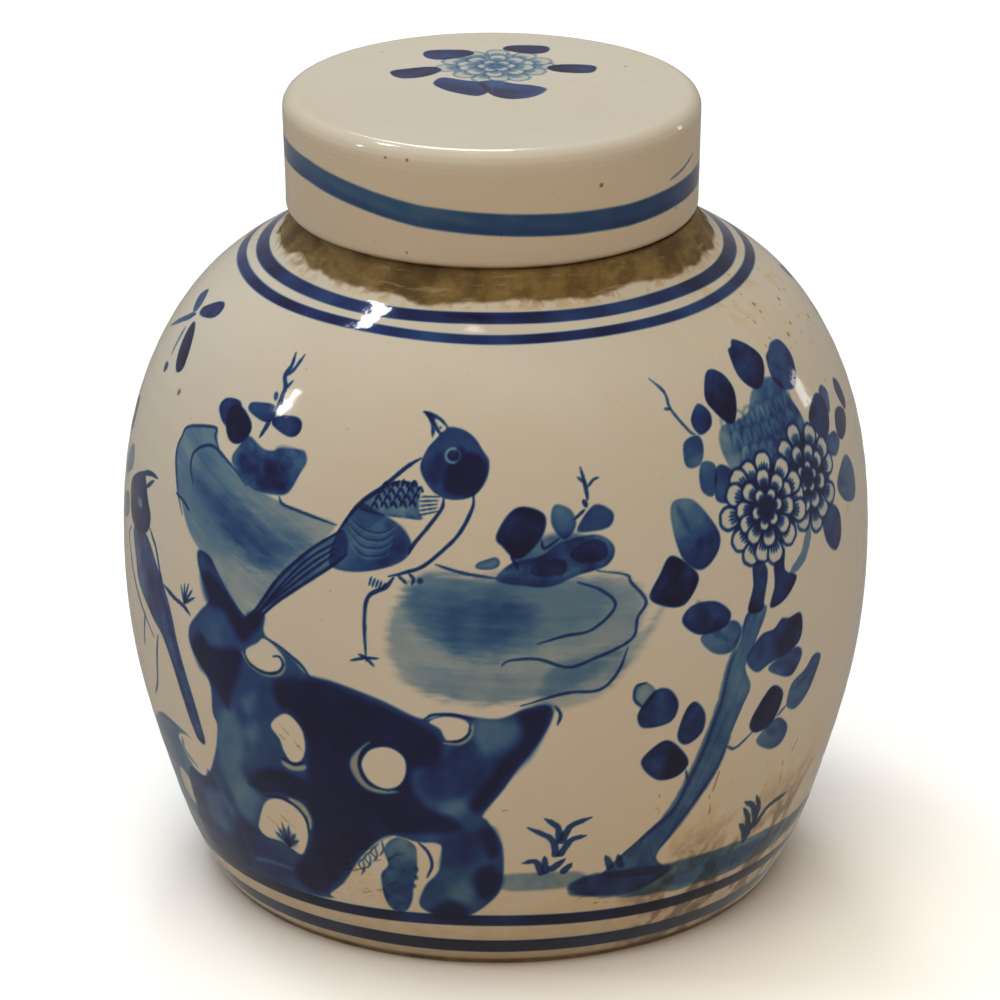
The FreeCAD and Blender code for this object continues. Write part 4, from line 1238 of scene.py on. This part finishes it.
def jar_place(corners, first):
    """The outside as two half-turn strips, and everything else as a third one above them."""
    rows = len(jar_profile) - 2
    last = rows * COLUMNS
    first = np.where(first >= last, corners, first)
    row = np.minimum(corners // COLUMNS, rows - 1)
    column = corners % COLUMNS
    first_row = np.minimum(first // COLUMNS, rows - 1)
    first_column = first % COLUMNS
    column = np.where(column < first_column - 2, column + COLUMNS, column)
    wall = (first_row + 1 >= first_wall_row) & (first_row + 2 < first_wall_row + WALL_ROWS)
    half = COLUMNS // 2
    strip = (first_column >= half).astype(float)
    along = (column - strip * half) / half
    up = (row + 1 - first_wall_row) / (WALL_ROWS - 1)
    wall_uv = np.stack([0.003 + 0.994 * along, 0.003 + 0.43 * strip + 0.422 * up], -1)
    other_row = np.where(row + 1 < first_wall_row, row, row - WALL_ROWS)
    share = other_row / (rows - WALL_ROWS)
    other_uv = np.stack([0.003 + 0.994 * column / COLUMNS, 0.868 + 0.126 * share], -1)
    return np.where(wall[:, None], wall_uv, other_uv)


def lid_place(corners, first):
    """The top as a disc, the side as two half-turn strips and the inside as a smaller disc."""
    rows = len(lid_rows)
    last = rows * LID_COLUMNS
    low_pole, high_pole = corners == last, corners == last + 1
    row = np.minimum(corners // LID_COLUMNS, rows - 1)
    column = corners % LID_COLUMNS
    first = np.where(first >= last, np.where(first == last, 0, (rows - 1) * LID_COLUMNS), first)
    first_row = np.minimum(first // LID_COLUMNS, rows - 1)
    first_column = first % LID_COLUMNS
    after = np.where(column < first_column - 2, column + LID_COLUMNS, column)
    turn = 2 * np.pi * column / LID_COLUMNS
    top_rows = np.flatnonzero(on_top[:, 0])[0]
    side_rows = inside_count - 1
    out = lid_rows[row, 0]
    out = np.where(high_pole | low_pole, 0, out)
    disc = 0.3 + 0.293 * (out / (LID_RADIUS_TOP + 0.5))[:, None] * np.stack([np.sin(turn), -np.cos(turn)], -1)
    half = LID_COLUMNS // 2
    strip = (first_column >= half).astype(float)
    along = (after - strip * half) / half
    up = (row - side_rows) / (top_rows - side_rows)
    side = np.stack([0.004 + 0.992 * along, 0.615 + 0.19 * strip + 0.182 * up], -1)
    reach = np.where(low_pole, 0, (row + 1) / side_rows)
    inner = np.array([0.8, 0.2]) + 0.19 * reach[:, None] * np.stack([np.sin(turn), np.cos(turn)], -1)
    is_top = (first_row >= top_rows)[:, None]
    is_inner = (first_row < side_rows)[:, None]
    return np.where(is_top, disc, np.where(is_inner, inner, side))


lay_out(jar, jar_place)
lay_out(lid, lid_place)


# ---------------------------------------------------------------- materials

COBALT_STEPS = [
    (0.00, (1.0, 1.0, 1.0)), (0.10, (0.74, 0.83, 0.90)), (0.22, (0.43, 0.58, 0.75)),
    (0.38, (0.18, 0.36, 0.62)), (0.52, (0.08, 0.225, 0.53)), (0.66, (0.032, 0.115, 0.41)),
    (0.80, (0.018, 0.050, 0.28)), (0.90, (0.012, 0.022, 0.15)), (1.00, (0.010, 0.010, 0.07)),
]
STAIN_STEPS = [
    (0.0, (0.52, 0.40, 0.22)), (0.35, (0.40, 0.27, 0.11)), (0.7, (0.16, 0.09, 0.035)),
    (1.0, (0.05, 0.026, 0.012)),
]
GLAZE = (0.425, 0.388, 0.325)
# The warmer glaze colour, used for random warm clouds and for the painted warm bounce light lower down.
GLAZE_WARMER_AND_WARM_LIT = (0.405, 0.335, 0.245)
CLAY_DARK = (0.078, 0.047, 0.010)
CLAY_LIGHT = (0.18, 0.118, 0.036)


class Nodes:
    """A short way to build one material's nodes."""

    def __init__(self, name):
        self.material = bpy.data.materials.new(name)
        self.material.use_nodes = True
        self.tree = self.material.node_tree
        self.shader = next(n for n in self.tree.nodes if n.type == "BSDF_PRINCIPLED")
        self.place = self.tree.nodes.new("ShaderNodeTexCoord").outputs["Object"]

    def put(self, socket, value):
        """Links a socket to another one, or sets its number or colour."""
        if isinstance(value, bpy.types.NodeSocket):
            self.tree.links.new(value, socket)
        elif isinstance(value, tuple):
            socket.default_value = (*value, 1.0)
        else:
            socket.default_value = value

    def attribute(self, name):
        """A number stored at every vertex."""
        node = self.tree.nodes.new("ShaderNodeAttribute")
        node.attribute_name = name
        return node.outputs["Fac"]

    def noise(self, scale, detail=3.0, roughness=0.55, stretch=None):
        """Random lumps, scale of them to a metre, squeezed by stretch along each axis."""
        node = self.tree.nodes.new("ShaderNodeTexNoise")
        node.inputs["Scale"].default_value = scale
        node.inputs["Detail"].default_value = detail
        node.inputs["Roughness"].default_value = roughness
        place = self.place
        if stretch is not None:
            mapping = self.tree.nodes.new("ShaderNodeMapping")
            mapping.inputs["Scale"].default_value = stretch
            self.tree.links.new(self.place, mapping.inputs["Vector"])
            place = mapping.outputs["Vector"]
        self.tree.links.new(place, node.inputs["Vector"])
        return node.outputs["Fac"]

    def between(self, value, low, high, to_low=0.0, to_high=1.0):
        """An eased step from to_low to to_high while value goes from low to high."""
        node = self.tree.nodes.new("ShaderNodeMapRange")
        node.interpolation_type = "SMOOTHSTEP"
        for name, number in (("Value", value), ("From Min", low), ("From Max", high),
                             ("To Min", to_low), ("To Max", to_high)):
            self.put(node.inputs[name], number)
        return node.outputs["Result"]

    def math(self, operation, a, b):
        node = self.tree.nodes.new("ShaderNodeMath")
        node.operation = operation
        self.put(node.inputs[0], a)
        self.put(node.inputs[1], b)
        return node.outputs[0]

    def mix(self, share, a, b, blend="MIX"):
        """Colour a with a share of colour b over it."""
        node = self.tree.nodes.new("ShaderNodeMix")
        node.data_type = "RGBA"
        node.blend_type = blend
        self.put(node.inputs["Factor"], share)
        self.put(node.inputs[6], a)
        self.put(node.inputs[7], b)
        return node.outputs[2]

    def ramp(self, value, steps):
        """A colour for each value, from a list of (position, colour)."""
        node = self.tree.nodes.new("ShaderNodeValToRGB")
        marks = node.color_ramp.elements
        while len(marks) < len(steps):
            marks.new(0.5)
        for mark, (position, colour) in zip(marks, steps):
            mark.position = position
            mark.color = (*colour, 1.0)
        self.put(node.inputs["Fac"], value)
        return node.outputs["Color"]

    def bump(self, height, distance, after=None):
        """Fine relief up to distance metres high, added to the relief after."""
        node = self.tree.nodes.new("ShaderNodeBump")
        node.inputs["Distance"].default_value = distance
        self.put(node.inputs["Height"], height)
        if after is not None:
            self.put(node.inputs["Normal"], after)
        return node.outputs["Normal"]


def glazed_porcelain(name, cool_lit_height, warm_lit_height, warm_light_share):
    """Clear glossy glaze with painted warm bounce light that makes it warmer lower down, over cobalt
    painting, specks, stains and bare clay.
    """
    n = Nodes(name)
    cobalt = n.attribute("cobalt")
    stain = n.attribute("stain")
    bare = n.attribute("bare")

    cloud = n.between(n.noise(14, 4), 0.35, 0.68)
    height = n.tree.nodes.new("ShaderNodeSeparateXYZ")
    n.tree.links.new(n.place, height.inputs[0])
    # Painted light: the glaze turns warmer lower down, where warm light bounces up from the floor; on the lid
    # this makes its side warmer than its top.
    low_down = n.between(height.outputs["Z"], cool_lit_height, warm_lit_height)
    warm_tone_and_warm_light = n.math("ADD", n.math("MULTIPLY", cloud, 0.35), n.math("MULTIPLY", low_down, warm_light_share))
    glaze = n.mix(warm_tone_and_warm_light, GLAZE, GLAZE_WARMER_AND_WARM_LIT)
    freckle = n.between(n.noise(420, 2), 0.70, 0.76, 0.0, 0.22)
    glaze = n.mix(freckle, glaze, (0.30, 0.22, 0.12))

    patchy = n.math("MULTIPLY", stain, n.between(n.noise(260, 4), 0.3, 0.6, 0.75, 1.1))
    tinted = n.mix(0.8, glaze, n.ramp(patchy, STAIN_STEPS))
    glaze = n.mix(n.math("MINIMUM", n.math("MULTIPLY", patchy, 1.2), 1.0), glaze, tinted)
    run = n.noise(160, 4)
    grain = n.math("SUBTRACT", n.math("MULTIPLY", run, 0.14), 0.07)
    depth = n.math("ADD", cobalt, n.math("MULTIPLY", grain, n.between(cobalt, 0.02, 0.3)))
    stained = n.mix(1.0, glaze, n.ramp(depth, COBALT_STEPS), "MULTIPLY")
    clay = n.mix(n.between(n.noise(110, 6, 0.65), 0.36, 0.66), CLAY_DARK, CLAY_LIGHT)
    scratched = n.between(n.noise(90, 5, 0.6, (1.0, 1.0, 7.0)), 0.56, 0.66, 0.0, 0.55)
    clay = n.mix(scratched, clay, (0.27, 0.20, 0.10))
    n.put(n.shader.inputs["Base Color"], n.mix(bare, stained, clay))

    smudge = n.between(n.noise(24, 5), 0.4, 0.75, 0.055, 0.12)
    dull_stain = n.math("MULTIPLY", stain, 0.06)
    rough = n.math("ADD", smudge, n.math("ADD", dull_stain, n.math("MULTIPLY", bare, 0.5)))
    n.put(n.shader.inputs["Roughness"], rough)
    n.shader.inputs["IOR"].default_value = 1.43

    ripple = n.bump(n.noise(70, 2, 0.4), 0.00022)
    orange_peel = n.bump(n.noise(520, 2, 0.5), 0.00002, ripple)
    pit = n.bump(n.between(n.noise(650, 1), 0.74, 0.8, 1.0, 0.0), 0.00006, orange_peel)
    grit = n.bump(n.math("MULTIPLY", bare, n.noise(900, 6, 0.7)), 0.0005, pit)
    n.put(n.shader.inputs["Normal"], grit)
    return n.material


# Heights between which the painted warm light comes in: the lower belly of the jar, and the lid's side under
# its top.
jar.data.materials.append(glazed_porcelain("jar_glaze_finish", 0.17, 0.02, 0.75))
lid.data.materials.append(glazed_porcelain("lid_glaze_finish", 0.2195, 0.213, 0.9))
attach(jar, "jar")
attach(lid, "lid")
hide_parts("jar_body")
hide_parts("lid")


# ---------------------------------------------------------------- floor, light and camera

def plain_material(name, colour, roughness):
    """A dull finish with a faint cloudiness."""
    n = Nodes(name)
    shade = n.between(n.noise(3, 3), 0.3, 0.7, 0.0, 0.03)
    n.put(n.shader.inputs["Base Color"], n.mix(shade, colour, (0.7, 0.7, 0.7)))
    n.shader.inputs["Roughness"].default_value = roughness
    return n.material


def soft_light(name, azimuth, elevation, distance, width, height, power, colour, mirrored):
    """A rectangular light aimed at the jar; azimuth is from the front, to the right. Only the
    windows are mirrored in the glaze."""
    a, e = math.radians(azimuth), math.radians(elevation)
    way = np.array([math.sin(a) * math.cos(e), -math.cos(a) * math.cos(e), math.sin(e)])
    data = bpy.data.lights.new(name, "AREA")
    data.shape = "RECTANGLE"
    data.size, data.size_y = width, height
    data.energy = power
    data.color = colour
    light = bpy.data.objects.new(name, data)
    bpy.context.scene.collection.objects.link(light)
    light.location = way * distance + np.array([0, 0, AIM_HEIGHT])
    spin = Vector(way.tolist()).to_track_quat("Z", "Y")
    light.rotation_euler = spin.to_euler()
    light.visible_glossy = mirrored


bpy.ops.mesh.primitive_plane_add(size=8, location=(0, 0, 0))
floor = bpy.context.object
floor.name = "floor"
floor.data.materials.append(plain_material("floor_paper", (0.95, 0.935, 0.915), 0.8))
floor.visible_glossy = False

AIM_HEIGHT = 0.12
DAYLIGHT = (0.97, 1.0, 1.04)
COOL = (0.70, 0.85, 1.0)
PLAIN = (1.0, 0.955, 0.82)
WARM = (1.0, 0.42, 0.12)
for lamp in (
    ("key", -118, 64, 1.8, 1.3, 1.3, 10, COOL, False),
    ("overhead", 0, 74, 2.0, 1.6, 1.6, 31, PLAIN, False),
    ("back", 180, 60, 2.2, 1.6, 1.4, 10, COOL, False),
    ("front_fill", 8, 24, 2.4, 1.8, 1.2, 7.0, WARM, False),
    ("high_window", -130, 61, 2.0, 0.34, 0.13, 4.4, DAYLIGHT, True),
    ("skylight", -155, 80, 2.0, 0.10, 0.12, 0.35, DAYLIGHT, True),
    ("side_window", -82, 31.5, 2.0, 0.10, 0.36, 2.8, DAYLIGHT, True),
    ("rear_window", -176, 45, 2.0, 0.36, 0.80, 6.0, DAYLIGHT, True),
    ("right_wall", 121, 8, 2.0, 0.14, 0.26, 0.5, DAYLIGHT, True),
):
    soft_light(*lamp)

world = bpy.data.worlds.new("room")
bpy.context.scene.world = world
world.use_nodes = True
background = world.node_tree.nodes["Background"]
background.inputs["Color"].default_value = (1.0, 0.93, 0.84, 1.0)
background.inputs["Strength"].default_value = 0.32

CAMERA_DISTANCE = 1.428  # metres in front of the jar's axis
CAMERA_HEIGHT = 0.6623
CAMERA_DOWN = 21.393  # degrees below level
data = bpy.data.cameras.new("camera")
data.lens = 201.5
data.sensor_width = 36.0
data.shift_x = 0.0039
data.clip_end = 20
camera = bpy.data.objects.new("camera", data)
bpy.context.scene.collection.objects.link(camera)
camera.location = (0, -CAMERA_DISTANCE, CAMERA_HEIGHT)
camera.rotation_euler = (math.radians(90 - CAMERA_DOWN), 0, 0)
bpy.context.scene.camera = camera
bpy.context.scene.view_settings.view_transform = "Standard"
